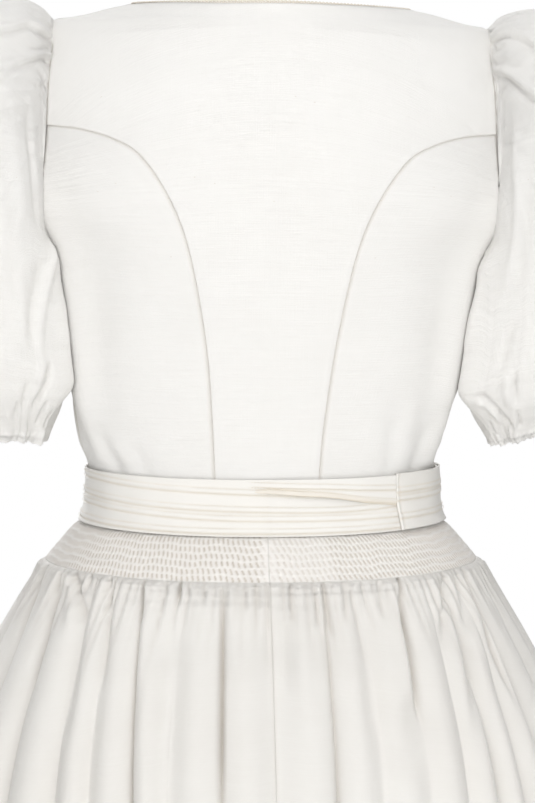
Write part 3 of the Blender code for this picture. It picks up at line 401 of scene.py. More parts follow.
def along(points, count):
    """Points evenly spaced along a smooth curve through the given ones, ends included."""
    points = np.array(points, float)
    ends = padded(points)
    t = np.linspace(0, 1, 20, endpoint=False)[:, None]
    dense = [between_points(*four, t) for four in zip(ends, ends[1:], ends[2:], ends[3:])]
    dense = np.concatenate([*dense, points[-1:]])
    length = np.concatenate([[0], np.cumsum(np.linalg.norm(np.diff(dense, axis=0), axis=1))])
    at = np.linspace(0, length[-1], count + 1)
    return np.stack([np.interp(at, length, dense[:, k]) for k in range(dense.shape[1])], axis=1)


def signed_power(value, power):
    return np.sign(value) * np.abs(value) ** power


def unit(vectors):
    return vectors / np.maximum(np.linalg.norm(vectors, axis=-1, keepdims=True), 1e-12)


def bell(distance, width):
    """A smooth hump, 1 in the middle and about a third at the width."""
    return np.exp(-((distance / width) ** 2))


def window(value, start, rise, end, fall):
    """1 between a start and an end, and 0 outside them, with soft edges inside."""
    return smooth_step((value - start) / rise) * smooth_step((end - value) / fall)


def wrapped(angle, turn=2 * math.pi):
    """The angle brought to within half a turn of 0."""
    return (angle + turn / 2) % turn - turn / 2


def soft_noise(x, y, seed):
    """A smooth, uneven value from -1 to 1 over a surface."""
    rng = np.random.default_rng(seed)
    total = np.zeros(np.broadcast(x, y).shape)
    for _ in range(7):
        fx, fy = rng.uniform(-1, 1, 2)
        total += np.sin(2 * math.pi * (fx * x + fy * y) + rng.uniform(0, 2 * math.pi))
    return total / 3.5


# The surfaces of the body and the skirt


def oval(angle, half_width, back_depth, front_depth, squareness):
    power = 2 / squareness
    depth = np.where(np.cos(angle) > 0, back_depth, front_depth)
    x = half_width * signed_power(np.sin(angle), power)
    return x, depth * signed_power(np.cos(angle), power)


def lean(points):
    """The points after the wearer's lean, which turns all that is above the waist."""
    points = np.asarray(points, float)
    x, y, z = points[..., 0], points[..., 1], points[..., 2]
    share = LEAN * smooth_step((z - WAIST_SEAM) / LEAN_RAMP)
    return np.stack([x - share * (z - WAIST_SEAM), y, z + share * x], axis=-1)


def dip(angle, z):
    return column(BACK_DIP, z, 1) * np.maximum(0.0, np.cos(angle)) ** 1.5


def body_surface(angle, z):
    """Points of the bodice's outer face before the lean."""
    angle, z = np.broadcast_arrays(np.asarray(angle, float), np.asarray(z, float))
    x, y = oval(angle, *(column(BODY, z, k) for k in range(1, 5)))
    aside = np.hypot(x, BRIDGED_HALF_WIDTH) - CUP_X
    reach = (aside / CUP_REACH_X) ** 2 + ((z - CUP_Z) / CUP_REACH_Z) ** 2
    y = y - np.where(np.cos(angle) < 0, CUP_DEPTH * np.exp(-reach), 0.0)
    # Under the arm the back turns the corner more squarely
    from_back = np.degrees(np.abs(wrapped(angle)))
    corner = window(from_back, 50, 28, 90, 12)
    y = y + BACK_CORNER * corner * window(z, -0.325, 0.07, -0.085, 0.05)
    return np.stack([x, y, z], axis=-1)


def body_side(y, z):
    """Distance from the centre of the body's back at a depth and height."""
    levels, depths = np.linspace(-0.33, -0.10, 60), np.linspace(0.0, 0.085, 80)
    angles = np.radians(np.linspace(90, 15, 160))
    known = []
    for level in levels:
        points = body_surface(angles, level)
        known.append(np.interp(depths, np.maximum.accumulate(points[:, 1]), points[:, 0]))
    known = np.array(known)
    i = np.clip((z - levels[0]) / (levels[1] - levels[0]), 0, len(levels) - 1.001)
    j = np.clip(y / depths[1], 0, len(depths) - 1.001)
    low, near = i.astype(int), j.astype(int)
    a, b = i - low, j - near
    lower = known[low, near] * (1 - b) + known[low, near + 1] * b
    upper = known[low + 1, near] * (1 - b) + known[low + 1, near + 1] * b
    return lower * (1 - a) + upper * a


def body_outward(angle, z, level=False):
    """The direction out of the cloth, or out sideways only."""
    by_angle = body_surface(angle + 0.012, z) - body_surface(angle - 0.012, z)
    if level:
        flat = np.stack([-by_angle[..., 1], by_angle[..., 0], np.zeros_like(by_angle[..., 0])], axis=-1)
        return unit(flat)
    by_height = body_surface(angle, z + 0.001) - body_surface(angle, z - 0.001)
    return unit(np.cross(by_height, by_angle))


def angle_at(distance, z):
    share = np.minimum(np.abs(distance) / column(BODY, z, 1), 1.0)
    return np.arcsin(share ** (column(BODY, z, 4) / 2))


def armhole_points(z, front):
    """Columns angle, z of the armhole's edge on the left."""
    angle = angle_at(column(ARMHOLE, z, 2 if front else 1), z)
    return np.stack([math.pi - angle if front else angle, z], axis=-1)


def skirt_surface(angle, z, out=0.0):
    """Points of the skirt's smooth outer shape, moved out sideways."""
    half_width, back, front = (column(SKIRT, z, k) for k in range(1, 4))
    x, y = oval(angle, half_width, back, front, SKIRT_SQUARENESS)
    away = np.stack([x / half_width**2, y / back**2, np.zeros_like(x)], axis=-1)
    place = np.stack([x, y, z - dip(angle, z)], axis=-1)
    return place + unit(away) * np.asarray(out)[..., None]


# Meshes


def shell(name, outer, inner, values=None, wrap=False):
    """A closed thin wall between two grids of points, rows up, of which the inner may have fewer
    rows. Its UV map holds the place on the cloth in metres."""
    outer, inner = np.asarray(outer, float), np.asarray(inner, float)
    rows, columns = outer.shape[:2]
    back_rows = len(inner)
    front = np.arange(rows * columns).reshape(rows, columns)
    back = rows * columns + np.arange(back_rows * columns).reshape(back_rows, columns)
    if wrap:
        front = np.concatenate([front, front[:, :1]], axis=1)
        back = np.concatenate([back, back[:, :1]], axis=1)

    def quads(grid, turned):
        corners = (grid[:-1, :-1], grid[:-1, 1:], grid[1:, 1:], grid[1:, :-1])
        found = np.stack([c.ravel() for c in corners], axis=1)
        return found[:, ::-1] if turned else found

    faces = [quads(front, False), quads(back, True)]
    faces.append(quads(np.stack([front[-1], back[-1]]), False))
    faces.append(quads(np.stack([back[0], front[0]]), False))
    faces = np.concatenate(faces).tolist()
    if not wrap:
        marks = np.round(np.linspace(0, rows - 1, back_rows)).astype(int)
        for k in range(back_rows - 1):
            low, high = marks[k], marks[k + 1]
            left = [*front[low : high + 1, 0].tolist(), int(back[k + 1, 0]), int(back[k, 0])]
            right = [*front[low : high + 1, -1].tolist(), int(back[k + 1, -1]), int(back[k, -1])]
            faces += [left, right[::-1]]
    points = np.concatenate([outer.reshape(-1, 3), inner.reshape(-1, 3)])
    quad = np.array([f for f in faces if len(f) == 4])
    a, b, c, d = (points[quad[:, k]] for k in range(4))
    volume = (a * np.cross(b, c)).sum() + (a * np.cross(c, d)).sum()
    if volume < 0:
        faces = [face[::-1] for face in faces]
    mesh = bpy.data.meshes.new(name)
    mesh.from_pydata(points.tolist(), [], faces)
    place = np.concatenate([cloth_places(outer), cloth_places(inner)])
    layer = mesh.uv_layers.new(name="ClothMap")
    loops = np.empty(len(mesh.loops), np.int32)
    mesh.loops.foreach_get("vertex_index", loops)
    layer.data.foreach_set("uv", place[loops].astype(np.float32).ravel())
    for label, value in (values or {}).items():
        whole = np.zeros(len(points), np.float32)
        whole[: rows * columns] = np.asarray(value, np.float32).ravel()
        mesh.attributes.new(label, "FLOAT", "POINT").data.foreach_set("value", whole)
    mesh.shade_smooth()
    return linked(name, mesh)


def linked(name, data):
    """A new object in the scene."""
    made = bpy.data.objects.new(name, data)
    bpy.context.scene.collection.objects.link(made)
    return made


def mesh_from(whole, name):
    """A new mesh from a bmesh, which is then freed."""
    mesh = bpy.data.meshes.new(name)
    whole.to_mesh(mesh)
    whole.free()
    return mesh


def step_lengths(grid):
    """Distances between neighbours across a grid, and up it."""
    return (np.linalg.norm(np.diff(grid, axis=axis), axis=2) for axis in (1, 0))


def distances_along(grid):
    """Distances along each row from its first point, and up each column from its first."""
    across, up = step_lengths(grid)
    from_left = np.concatenate([np.zeros((len(grid), 1)), np.cumsum(across, axis=1)], axis=1)
    return from_left, np.concatenate([np.zeros((1, grid.shape[1])), np.cumsum(up, axis=0)])


def cloth_places(grid):
    """Columns u, v of each point on the flat cloth, in metres, from the middle of the rows."""
    u, v = distances_along(grid)
    return np.stack([(u - u[:, -1:] / 2).ravel(), v.ravel()], axis=1)


def outward_of(grid, wrap):
    """The direction out of a grid of rings that run up, from its neighbours."""
    if wrap:
        across = np.roll(grid, -1, axis=1) - np.roll(grid, 1, axis=1)
    else:
        across = np.gradient(grid, axis=1)
    normals = unit(np.cross(across, np.gradient(grid, axis=0)))
    middle = grid.mean(axis=(0, 1))
    return normals * np.sign(((grid - middle) * normals).sum())


def drawn_in(grid, amount, sides):
    """The grid with its border moved inwards along the cloth, which leaves the seam's gap."""
    moved = grid.copy()
    for side, edge, inside in (
        ("bottom", np.s_[0], np.s_[2]), ("top", np.s_[-1], np.s_[-3]),
        ("left", np.s_[:, 0], np.s_[:, 2]), ("right", np.s_[:, -1], np.s_[:, -3]),
    ):
        if side in sides:
            moved[edge] += unit(grid[inside] - grid[edge]) * amount
    return moved


def thinned(count, step):
    """Row numbers of an inner wall that keeps about one row in step."""
    kept = max(3, (count - 1) // step + 1)
    return np.round(np.linspace(0, count - 1, kept)).astype(int)


def crease_heights(u, v, rows):
    """Heights of straight soft creases over a cloth.

    Rows hold start_u, start_v, end_u, end_v, width, height."""
    total = np.zeros(np.broadcast(u, v).shape)
    for u0, v0, u1, v1, width, height in rows:
        du, dv = u1 - u0, v1 - v0
        length = math.hypot(du, dv)
        t = ((u - u0) * du + (v - v0) * dv) / length**2
        aside = ((u - u0) * dv - (v - v0) * du) / length
        total += height * bell(aside, width) * window(t, -0.15, 0.4, 1.15, 0.4)
    return total


def line_height(x, y, line, width, height, steeper=1, open_ends=(False, False)):
    """Height of one soft crease along a line over a cloth, all in metres. The side that lies towards
    greater x may be steeper, and an open end does not fade."""
    steps = len(line) - 1
    nearest = np.full(x.shape, np.inf)
    side = np.zeros(x.shape)
    share = np.zeros(x.shape)
    for k, (start, end) in enumerate(zip(line, line[1:])):
        step = end - start
        t = np.clip(((x - start[0]) * step[0] + (y - start[1]) * step[1]) / (step @ step), 0, 1)
        dx, dy = x - start[0] - t * step[0], y - start[1] - t * step[1]
        distance = np.hypot(dx, dy)
        closer = distance < nearest
        nearest = np.where(closer, distance, nearest)
        side = np.where(closer, dx, side)
        share = np.where(closer, (k + t) / steps, share)
    fade = np.ones(x.shape)
    if not open_ends[0]:
        fade *= smooth_step(share / 0.3 + 0.1)
    if not open_ends[1]:
        fade *= smooth_step((1 - share) / 0.3 + 0.1)
    across = np.where(side > 0, width / steeper, width)
    return height * fade * bell(nearest, across)


def finished(made, material, nodes=()):
    """The piece with its material and body, shown in place of its solids."""
    made.data.materials.clear()
    made.data.materials.append(material)
    if nodes:
        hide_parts(*nodes)
    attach(made, BODY_NAME)
    return made


def cloth_piece(name, grids, borders, kept_row, values, cloth, slot, held, wrap=False, rows_down=False,
                **stated):
    """A cloth in place of the solid of its name, from its outer and inner grids.
    The borders are drawn in by the seam's gap, and the inner side keeps about one row in kept_row."""
    outer, inner = (drawn_in(grid, SEWN_GAP, borders) for grid in grids)
    if rows_down:
        outer, inner = outer[::-1], inner[::-1]
        values = {label: value[::-1] for label, value in values.items()}
    made = shell(f"{name}_cloth", outer, inner[thinned(len(outer), kept_row)], values, wrap)
    finished(made, cloth_material(cloth), (name,))


# Materials


class Tree:
    """A short way to add and join nodes."""

    def __init__(self, tree):
        self.tree = tree

    def add(self, kind, *sources, **settings):
        """A new node with its settings, and its first inputs in order."""
        node = self.tree.nodes.new(kind)
        for name, value in settings.items():
            setattr(node, name, value)
        for source, socket in zip(sources, node.inputs):
            self.set(source, socket)
        return node

    def set(self, source, socket):
        """Sets a socket to a number or colour, or joins it to another socket."""
        if isinstance(source, bpy.types.NodeSocket):
            self.tree.links.new(source, socket)
        else:
            socket.default_value = source

    def fill(self, node, sources):
        """The node with inputs set or joined by their labels."""
        for label, source in sources.items():
            self.set(source, node.inputs[label])
        return node

    def math(self, operation, first, second=0.0, clamp=False):
        return self.add("ShaderNodeMath", first, second, operation=operation, use_clamp=clamp).outputs[0]

    def vector(self, operation, first, second):
        return self.add("ShaderNodeVectorMath", first, second, operation=operation).outputs[0]

    def noise(self, vector, scale, detail=2.0, roughness=0.5):
        sources = {"Vector": vector, "Scale": scale, "Detail": detail, "Roughness": roughness}
        return self.fill(self.add("ShaderNodeTexNoise"), sources).outputs["Fac"]

    def ranged(self, source, low, high, to_low=0.0, to_high=1.0):
        numbers = (source, low, high, to_low, to_high)
        return self.add("ShaderNodeMapRange", *numbers, interpolation_type="SMOOTHSTEP").outputs[0]

    def mixed(self, share, first, second):
        node = self.add("ShaderNodeMix", data_type="RGBA")
        return self.fill(node, {"Factor": share, "A": first, "B": second}).outputs["Result"]

    def bump(self, height, strength, distance):
        node = self.add("ShaderNodeBump")
        return self.fill(node, {"Strength": strength, "Distance": distance, "Height": height}).outputs[0]


def build_weave(tree, entry, way_out):
    """Fine threads both ways, with longer thick places in some of them."""
    across = tree.add("ShaderNodeSeparateXYZ", entry["Place"]).outputs

    def waves(place):
        turns = tree.math("MULTIPLY", place, entry["Threads per metre"])
        return tree.math("SINE", tree.math("MULTIPLY", turns, 2 * math.pi))

    def thick_places(stretch, detail, strength):
        found = tree.noise(tree.vector("MULTIPLY", entry["Place"], stretch), 1.0, detail, 0.6)
        return tree.math("MULTIPLY", tree.math("SUBTRACT", found, 0.5), strength)

    woven = tree.math("MULTIPLY", tree.math("ADD", waves(across[0]), waves(across[1])), 0.25)
    slubs = tree.math(
        "ADD", thick_places((26.0, 1500.0, 1.0), 3.0, 2.0), thick_places((1300.0, 30.0, 1.0), 2.0, 0.8)
    )
    uneven = tree.math("MULTIPLY", slubs, entry["Unevenness"])
    tree.set(tree.math("ADD", woven, uneven), way_out["Height"])
    tree.set(tree.math("ADD", uneven, 0.5, clamp=True), way_out["Tone"])


def build_specks(tree, entry, way_out):
    """Rare short darker fibres."""
    place = tree.vector("MULTIPLY", entry["Place"], (1.0, 2.6, 1.0))
    cells = tree.add("ShaderNodeTexVoronoi", feature="F1")
    tree.fill(cells, {"Vector": place, "Scale": entry["Scale"]})
    near = tree.ranged(cells.outputs["Distance"], 0.03, 0.07, 1.0, 0.0)
    pick = tree.add("ShaderNodeSeparateColor", cells.outputs["Color"])
    rare = tree.math("GREATER_THAN", pick.outputs[0], entry["Rarity"])
    tree.set(tree.math("MULTIPLY", near, rare), way_out["Mask"])


def build_clouds(tree, entry, way_out):
    """Broad, faint changes of tone."""
    broad = tree.noise(entry["Place"], entry["Scale"], 3.0, 0.55)
    tree.set(tree.ranged(broad, 0.3, 0.7), way_out["Mask"])


# What builds each shader group, its numbers and its outputs
GROUPS = {
    "Woven threads": (build_weave, {"Threads per metre": 1500.0, "Unevenness": 0.5}, ("Height", "Tone")),
    "Fibre specks": (build_specks, {"Scale": 60.0, "Rarity": 0.9}, ("Mask",)),
    "Tone clouds": (build_clouds, {"Scale": 8.0}, ("Mask",)),
}


def placed_group(tree, name, values):
    """A node of a shader group, which takes a place and numbers and is built once."""
    group = bpy.data.node_groups.get(name)
    if group is None:
        build, numbers, outputs = GROUPS[name]
        group = bpy.data.node_groups.new(name, "ShaderNodeTree")
        group.interface.new_socket("Place", in_out="INPUT", socket_type="NodeSocketVector")
        for label, default in numbers.items():
            socket = group.interface.new_socket(label, in_out="INPUT", socket_type="NodeSocketFloat")
            socket.default_value = default
        for label in outputs:
            group.interface.new_socket(label, in_out="OUTPUT", socket_type="NodeSocketFloat")
        inside = Tree(group)
        build(inside, inside.add("NodeGroupInput").outputs, inside.add("NodeGroupOutput").inputs)
    return tree.fill(tree.add("ShaderNodeGroup", node_tree=group), values).outputs


def new_material(name):
    """A new material with its tree and its shader."""
    material = bpy.data.materials.new(name)
    material.use_nodes = True
    return material, Tree(material.node_tree), material.node_tree.nodes["Principled BSDF"]


# Columns own colour, its shade, its seams' colour, how much lighter the own colour is painted, threads per
# metre, unevenness, roughness, sheen, relief, change of tone, strength of specks, specular, anisotropy. The
# sleeves' linen is painted lighter than the bodice's, as painted light against the shade on the sleeves.
CLOTHS = {
    "Bodice linen":
        ("linen", "linen_shade", "seam", 1.0, 1400.0, 0.55, 0.85, 0.15, 0.00022, 0.16, 0.5, 0.3, 0.0),
    "Sleeve linen":
        ("linen", "linen_shade", "seam", 1.045, 1300.0, 0.7, 0.85, 0.15, 0.00028, 0.20, 0.5, 0.3, 0.0),
    "Sash satin":
        ("satin", "satin_shade", "seam", 1.0, 2600.0, 0.3, 0.36, 0.1, 0.00008, 0.10, 0.0, 0.5, 0.3),
    "Button satin":
        ("satin", "satin_shade", "seam", 1.0, 2600.0, 0.4, 0.4, 0.1, 0.00008, 0.10, 0.0, 0.3, 0.0),
    "Skirt cloth":
        ("skirt", "skirt_shade", "skirt_seam", 1.0, 2000.0, 0.25, 0.46, 0.25, 0.00016, 0.20, 0.0, 0.45, 0.0),
    # The smocked band's own colour is the skirt cloth's, painted lighter as painted light against the shade
    # on the band
    "Smocked cloth":
        ("smocking", "skirt_shade", "skirt_seam", 1.0, 2000.0, 0.55, 0.5, 0.25, 0.0001, 0.10, 0.0, 0.4, 0.0),
}


def cloth_material(name):
    """One of the woven cloths, made once."""
    found = bpy.data.materials.get(name)
    if found:
        return found
    own, shade, seam, lighter, threads, unevenness, roughness, sheen, relief, *rest = CLOTHS[name]
    tone_change, speck_strength, specular, anisotropy = rest
    looks = bpy.context.scene.dress_looks
    own = (*(min(1.0, tone * lighter) for tone in getattr(looks, own)), 1.0)
    shaded, seam = ((*getattr(looks, colour), 1.0) for colour in (shade, seam))
    material, tree, shader = new_material(name)
    place = tree.add("ShaderNodeUVMap", uv_map="ClothMap").outputs[0]
    threads_here = {"Place": place, "Threads per metre": threads, "Unevenness": unevenness}
    weave = placed_group(tree, "Woven threads", threads_here)
    clouds = placed_group(tree, "Tone clouds", {"Place": place, "Scale": 7.0})
    dark = tree.math("MULTIPLY", tree.math("SUBTRACT", 1.0, weave["Tone"], clamp=True), tone_change)
    share = tree.math("ADD", dark, tree.math("MULTIPLY", clouds["Mask"], 0.06))
    colour = tree.mixed(share, own, shaded)
    # Painted shade: the shade colour is laid where the piece's attribute for it asks, in creases, beside
    # tucks, in the smocking's slots and between gathers; then the seam colour along the seams
    for attribute, painted in (("hollow", shaded), ("seam", seam)):
        here = tree.add("ShaderNodeAttribute", attribute_name=attribute).outputs["Fac"]
        colour = tree.mixed(here, colour, painted)
    if speck_strength:
        specks = placed_group(tree, "Fibre specks", {"Place": place, "Scale": 70.0, "Rarity": 0.93})
        colour = tree.mixed(tree.math("MULTIPLY", specks["Mask"], speck_strength), colour, seam)
    rough = tree.ranged(weave["Tone"], 0.0, 1.0, min(roughness + 0.08, 1.0), max(roughness - 0.06, 0.0))
    tree.fill(shader, {
        "Base Color": colour,
        "Roughness": rough,
        "Normal": tree.bump(weave["Height"], 1.0, relief),
        "Specular IOR Level": specular,
        "Sheen Weight": sheen,
        "Sheen Roughness": 0.5,
        "Anisotropic": anisotropy,
    })
    return material


def trim_material(name, roughness):
    """Satin thread or cord, with the twist of its fibres."""
    looks = bpy.context.scene.dress_looks
    colours = [(*colour, 1.0) for colour in (looks.satin_shade, looks.satin)]
    material, tree, shader = new_material(name)
    fibres = tree.noise(tree.add("ShaderNodeTexCoord").outputs["Object"], 2600.0, 2.0, 0.6)
    tree.fill(shader, {
        "Base Color": tree.mixed(tree.ranged(fibres, 0.35, 0.7), *colours),
        "Normal": tree.bump(fibres, 0.6, 0.0001),
        "Roughness": roughness,
        "Sheen Weight": 0.1,
    })
    return material


# Properties


def length_property(name, description, default, low, high):
    return FloatProperty(
        name=name, description=description, default=default, min=low, max=high, subtype="DISTANCE",
        unit="LENGTH",
    )


class DRESS_PG_sizes(bpy.types.PropertyGroup):
    cloth: length_property("Cloth wall", "Thickness of the bodice and sleeve cloth", 0.0010, 0.0004, 0.0015)
    skirt_wall: length_property("Skirt wall", "Thickness of the skirt cloth", 0.0009, 0.0004, 0.0014)
    grid: length_property("Grid", "Distance between the points of the bodice cloths", 0.0026, 0.001, 0.01)
    creases: FloatProperty(
        name="Creases", description="Depth of the creases against those placed by hand",
        default=1.0, min=0.0, max=2.0, subtype="FACTOR",
    )
    smocking_rows: IntProperty(
        name="Smocking rows", description="Rows of gathered cells in the band", default=10, min=4, max=14,
    )
    smocking_cells: IntProperty(
        name="Smocking cells", description="Cells in each row of one half of the band",
        default=124, min=40, max=200,
    )
    stitch: length_property("Stitch", "Length of one stitch on the sash", 0.0021, 0.001, 0.006)
    plait: length_property("Plait", "Length of one turn of the plaited neck trim", 0.0085, 0.004, 0.02)


def colour_property(name, description, default):
    return FloatVectorProperty(
        name=name, description=description, default=default, subtype="COLOR", size=3, min=0.0, max=1.0
    )


class DRESS_PG_looks(bpy.types.PropertyGroup):
    linen: colour_property("Linen", "Colour of the bodice and sleeves", (0.872, 0.863, 0.845))
    # Linen shade serves for the weave's darker threads, and as painted shade in the sleeves' creases
    linen_shade: colour_property("Linen shade", "Colour between its threads", (0.70, 0.665, 0.60))
    seam: colour_property("Seams", "Colour of the seam lines", (0.60, 0.52, 0.42))
    satin: colour_property("Satin", "Colour of the sash", (0.822, 0.808, 0.778))
    # Satin shade serves for the darker fibres of the weave and trims, and as painted shade beside the sash's
    # tucks and along its edges
    satin_shade: colour_property("Satin shade", "Colour of its tucks", (0.74, 0.66, 0.54))
    skirt: colour_property("Skirt", "Colour of the skirt", (0.852, 0.839, 0.810))
    # The smocked band's own colour is the skirt cloth's, painted lighter as painted light against the shade
    # on the band
    smocking: colour_property("Smocking", "Colour of the smocked band's ridges", (0.908, 0.887, 0.858))
    # Skirt shade serves for the weave's darker threads, and as painted shade in the skirt's folds, creases
    # and gathers and in the smocking's slots
    skirt_shade: colour_property("Skirt shade", "Colour between its threads", (0.45, 0.38, 0.30))
    skirt_seam: colour_property("Skirt seam", "Colour of its seam lines", (0.48, 0.41, 0.33))


# The bodice


def coons(bottom, top, left, right):
    """Places inside four borders that meet at their ends. Rows run from bottom to top."""
    u = np.linspace(0, 1, len(bottom))[None, :, None]
    v = np.linspace(0, 1, len(left))[:, None, None]
    corners = (1 - u) * (1 - v) * bottom[0] + u * (1 - v) * bottom[-1]
    corners = corners + (1 - u) * v * top[0] + u * v * top[-1]
    return (1 - v) * bottom + v * top + (1 - u) * left[:, None] + u * right[:, None] - corners


def ruled(left, right, columns):
    u = np.linspace(0, 1, columns + 1)[None, :, None]
    return left[:, None] * (1 - u) + right[:, None] * u


def mirrored(places):
    return np.asarray(places) * np.array([-1.0, 1.0])


def waist_line(start, end, count):
    angles = np.linspace(start, end, count + 1)
    return np.stack([angles, WAIST_SEAM - dip(angles, WAIST_SEAM)], axis=1)


def curved_seam(table, front, steps):
    """Columns angle, z down a curved seam of the left side, waist first."""
    places = along(table, steps)
    angles = angle_at(places[:, 0], places[:, 1])
    if front:
        angles = math.pi - angles
    result = np.stack([angles, places[:, 1]], axis=1)
    drop = dip(angles[0], WAIST_SEAM)
    result[:, 1] -= drop * smooth_step(1 - (result[:, 1] - WAIST_SEAM) / 0.02)
    return result


def opening_border(start, closing_steps, neck_steps):
    """Columns angle, z up the centre front edge and round the left half of the neckline."""
    heights = np.linspace(WAIST_SEAM, FRONT_NECK[0][1], closing_steps + 1)
    closing = np.stack([np.full_like(heights, start), heights], axis=1)
    neckline = along([(start, FRONT_NECK[0][1]), *FRONT_NECK[1:]], neck_steps)
    places = np.concatenate([closing[:-1], neckline])
    angles = math.pi - np.sign(places[:, 0]) * angle_at(places[:, 0], places[:, 1])
    result = np.stack([angles, places[:, 1]], axis=1)
    result[-1] = (math.pi / 2, NECK_POINT_Z)
    return result


def back_neckline(count):
    """Columns angle, z across the back from the left neck point to the right one."""
    angles = np.linspace(math.pi / 2, -math.pi / 2, count + 1)
    rise = (BACK_NECK_Z - NECK_POINT_Z) * np.maximum(np.cos(angles), 0.0) ** 0.8
    return np.stack([angles, NECK_POINT_Z + rise], axis=1)


def border_distances(points):
    """Each point's distance to the left, right, bottom and top border along the cloth."""
    from_left, from_bottom = distances_along(points)
    return {
        "left": from_left,
        "right": from_left[:, -1:] - from_left,
        "bottom": from_bottom,
        "top": from_bottom[-1:] - from_bottom,
    }


SIDES = ("left", "right")
BORDERS = (*SIDES, "bottom", "top")


def bodice_piece(name, domain, seams):
    """One panel of the bodice. Seams names the borders that are sewn to another panel."""
    sizes = bpy.context.scene.dress_sizes
    angle, z = domain[..., 0], domain[..., 1]
    base = body_surface(angle, z)
    outward = body_outward(angle, z)
    distances = border_distances(base)
    x = base[..., 0]
    behind, before = (crease_heights(x, z, rows) for rows in (BACK_CREASES, FRONT_CREASES))
    creases = np.where(np.cos(angle) > 0, behind, before)
    creases *= 1.15 * sizes.creases
    above_waist = smooth_step((z - WAIST_SEAM - 0.010) / 0.012)
    above_sash = smooth_step((z - SASH_TOP + 0.002) / 0.012)
    height = np.where(creases > 0, creases * above_sash, creases) * above_waist
    height += 0.0005 * soft_noise(x * 14, z * 9, 5) * above_waist
    seam = np.zeros(z.shape)
    for side in BORDERS:
        near = distances[side]
        if side in seams:
            # The seam lies in a groove beside a soft ridge, and the cloth puckers along it
            height += 0.00018 * (bell(near - 0.0034, 0.0018) - bell(near, 0.0008))
            pucker = soft_noise(distances["bottom" if side in SIDES else "left"] * 90, near * 0, 11)
            height += 0.00012 * pucker * bell(near, 0.007) * above_waist
            seam = np.maximum(seam, bell(near, 0.0005))
        else:
            height += 0.0003 * smooth_step(1 - near / 0.006)
    outer = lean(base + outward * height[..., None])
    inner = lean(base + outward * (height * 0.7 - sizes.cloth)[..., None])
    values = {"seam": seam * 0.30}
    cloth_piece(name, (outer, inner), BORDERS, 3, values, "Bodice linen", "bodice_linen", "stretched")


def steps_for(length):
    return max(4, int(round(length / bpy.context.scene.dress_sizes.grid)))


class DRESS_OT_back(bpy.types.Operator):
    """The back panel, from the waist to the neck and shoulders"""

    bl_idname = "dress.back"
    bl_label = "Back"

    armhole_top, row_at_seam_end, top_row = -0.0195, -0.026, -0.004
    rows_that_dip = 12

    def execute(self, context):
        seam = curved_seam(BACK_SEAM, False, steps_for(0.33))
        heights = np.linspace(seam[-1, 1], self.armhole_top, steps_for(0.058) + 1)[1:]
        left = np.concatenate([seam, armhole_points(heights, False)])
        columns = steps_for(0.33) // 2 * 2
        domain = ruled(left, mirrored(left), columns)
        # Each row rises towards the middle, so that rows stay apart where the seam runs level
        up_to_seam_end = np.linspace(seam[0, 1], self.row_at_seam_end, len(seam))
        above = np.linspace(self.row_at_seam_end, self.top_row, len(heights) + 1)[1:]
        middle = np.concatenate([up_to_seam_end, above])
        domain[..., 1] += (middle - left[:, 1])[:, None] * np.sin(np.linspace(0, math.pi, columns + 1))
        low = smooth_step(1 - np.arange(len(left)) / self.rows_that_dip)[:, None]
        domain[..., 1] -= (dip(domain[..., 0], WAIST_SEAM) - dip(left[0, 0], WAIST_SEAM)) * low
        domain[0] = waist_line(left[0, 0], -left[0, 0], columns)
        shoulder_steps = columns // 6
        shoulder = np.linspace(0, NECK_POINT_Z, shoulder_steps + 1)
        shoulder = np.stack([np.full_like(shoulder, math.pi / 2), shoulder], axis=1)
        neckline = back_neckline(columns - 2 * shoulder_steps)
        top = np.concatenate([shoulder, neckline[1:-1], mirrored(shoulder)[::-1]])
        rise = np.linspace(0, 1, steps_for(0.03) + 1)[1:, None, None]
        upper = domain[-1][None] * (1 - rise) + top[None] * rise
        bodice_piece("back", np.concatenate([domain, upper]), ("left", "right"))
        return {"FINISHED"}


class DRESS_OT_side_panels(bpy.types.Operator):
    """The panels under the arms, behind and in front of each side seam"""

    bl_idname = "dress.side_panels"
    bl_label = "Side panels"

    def execute(self, context):
        rows, columns = steps_for(0.27), steps_for(0.13)
        for side, turn in (("left", np.asarray), ("right", mirrored)):
            for place, table, front in (("back", BACK_SEAM, False), ("front", FRONT_SEAM, True)):
                seam = curved_seam(table, front, rows)
                heights = np.linspace(WAIST_SEAM, UNDERARM, rows + 1)
                side_seam = np.stack([np.full_like(heights, math.pi / 2), heights], axis=1)
                bottom = waist_line(seam[0, 0], side_seam[0, 0], columns)
                top = armhole_points(np.linspace(seam[-1, 1], UNDERARM, columns + 1), front)
                domain = coons(turn(bottom), turn(top), turn(seam), turn(side_seam))
                bodice_piece(f"side_{place}_{side}", domain, ("left", "right", "top"))
        return {"FINISHED"}


class DRESS_OT_fronts(bpy.types.Operator):
    """The two fronts, from the closing to the curved front seams"""

    bl_idname = "dress.fronts"
    bl_label = "Fronts"

    def execute(self, context):
        seam_steps, armhole_steps = steps_for(0.30), steps_for(0.098)
        closing_steps = steps_for(0.229)
        neck_steps = seam_steps + armhole_steps - closing_steps
        seam = curved_seam(FRONT_SEAM, True, seam_steps)
        heights = np.linspace(seam[-1, 1], 0, armhole_steps + 1)[1:]
        outer_side = np.concatenate([seam, armhole_points(heights, True)])
        for side, turn, start in (("left", np.asarray, CLOSING_EDGE), ("right", mirrored, -CLOSING_EDGE)):
            opening = opening_border(start, closing_steps, neck_steps)
            domain = ruled(turn(opening), turn(outer_side), steps_for(0.11))
            bodice_piece(f"front_{side}", domain, ("right",))
        return {"FINISHED"}


# Trims made with Geometry Nodes


def line_object(name, points):
    """A poly curve through points, as the path that a node tree follows."""
    curve = bpy.data.curves.new(name, "CURVE")
    curve.dimensions = "3D"
    spline = curve.splines.new("POLY")
    spline.points.add(len(points) - 1)
    for target, point in zip(spline.points, points):
        target.co = (*point, 1.0)
    return linked(name, curve)


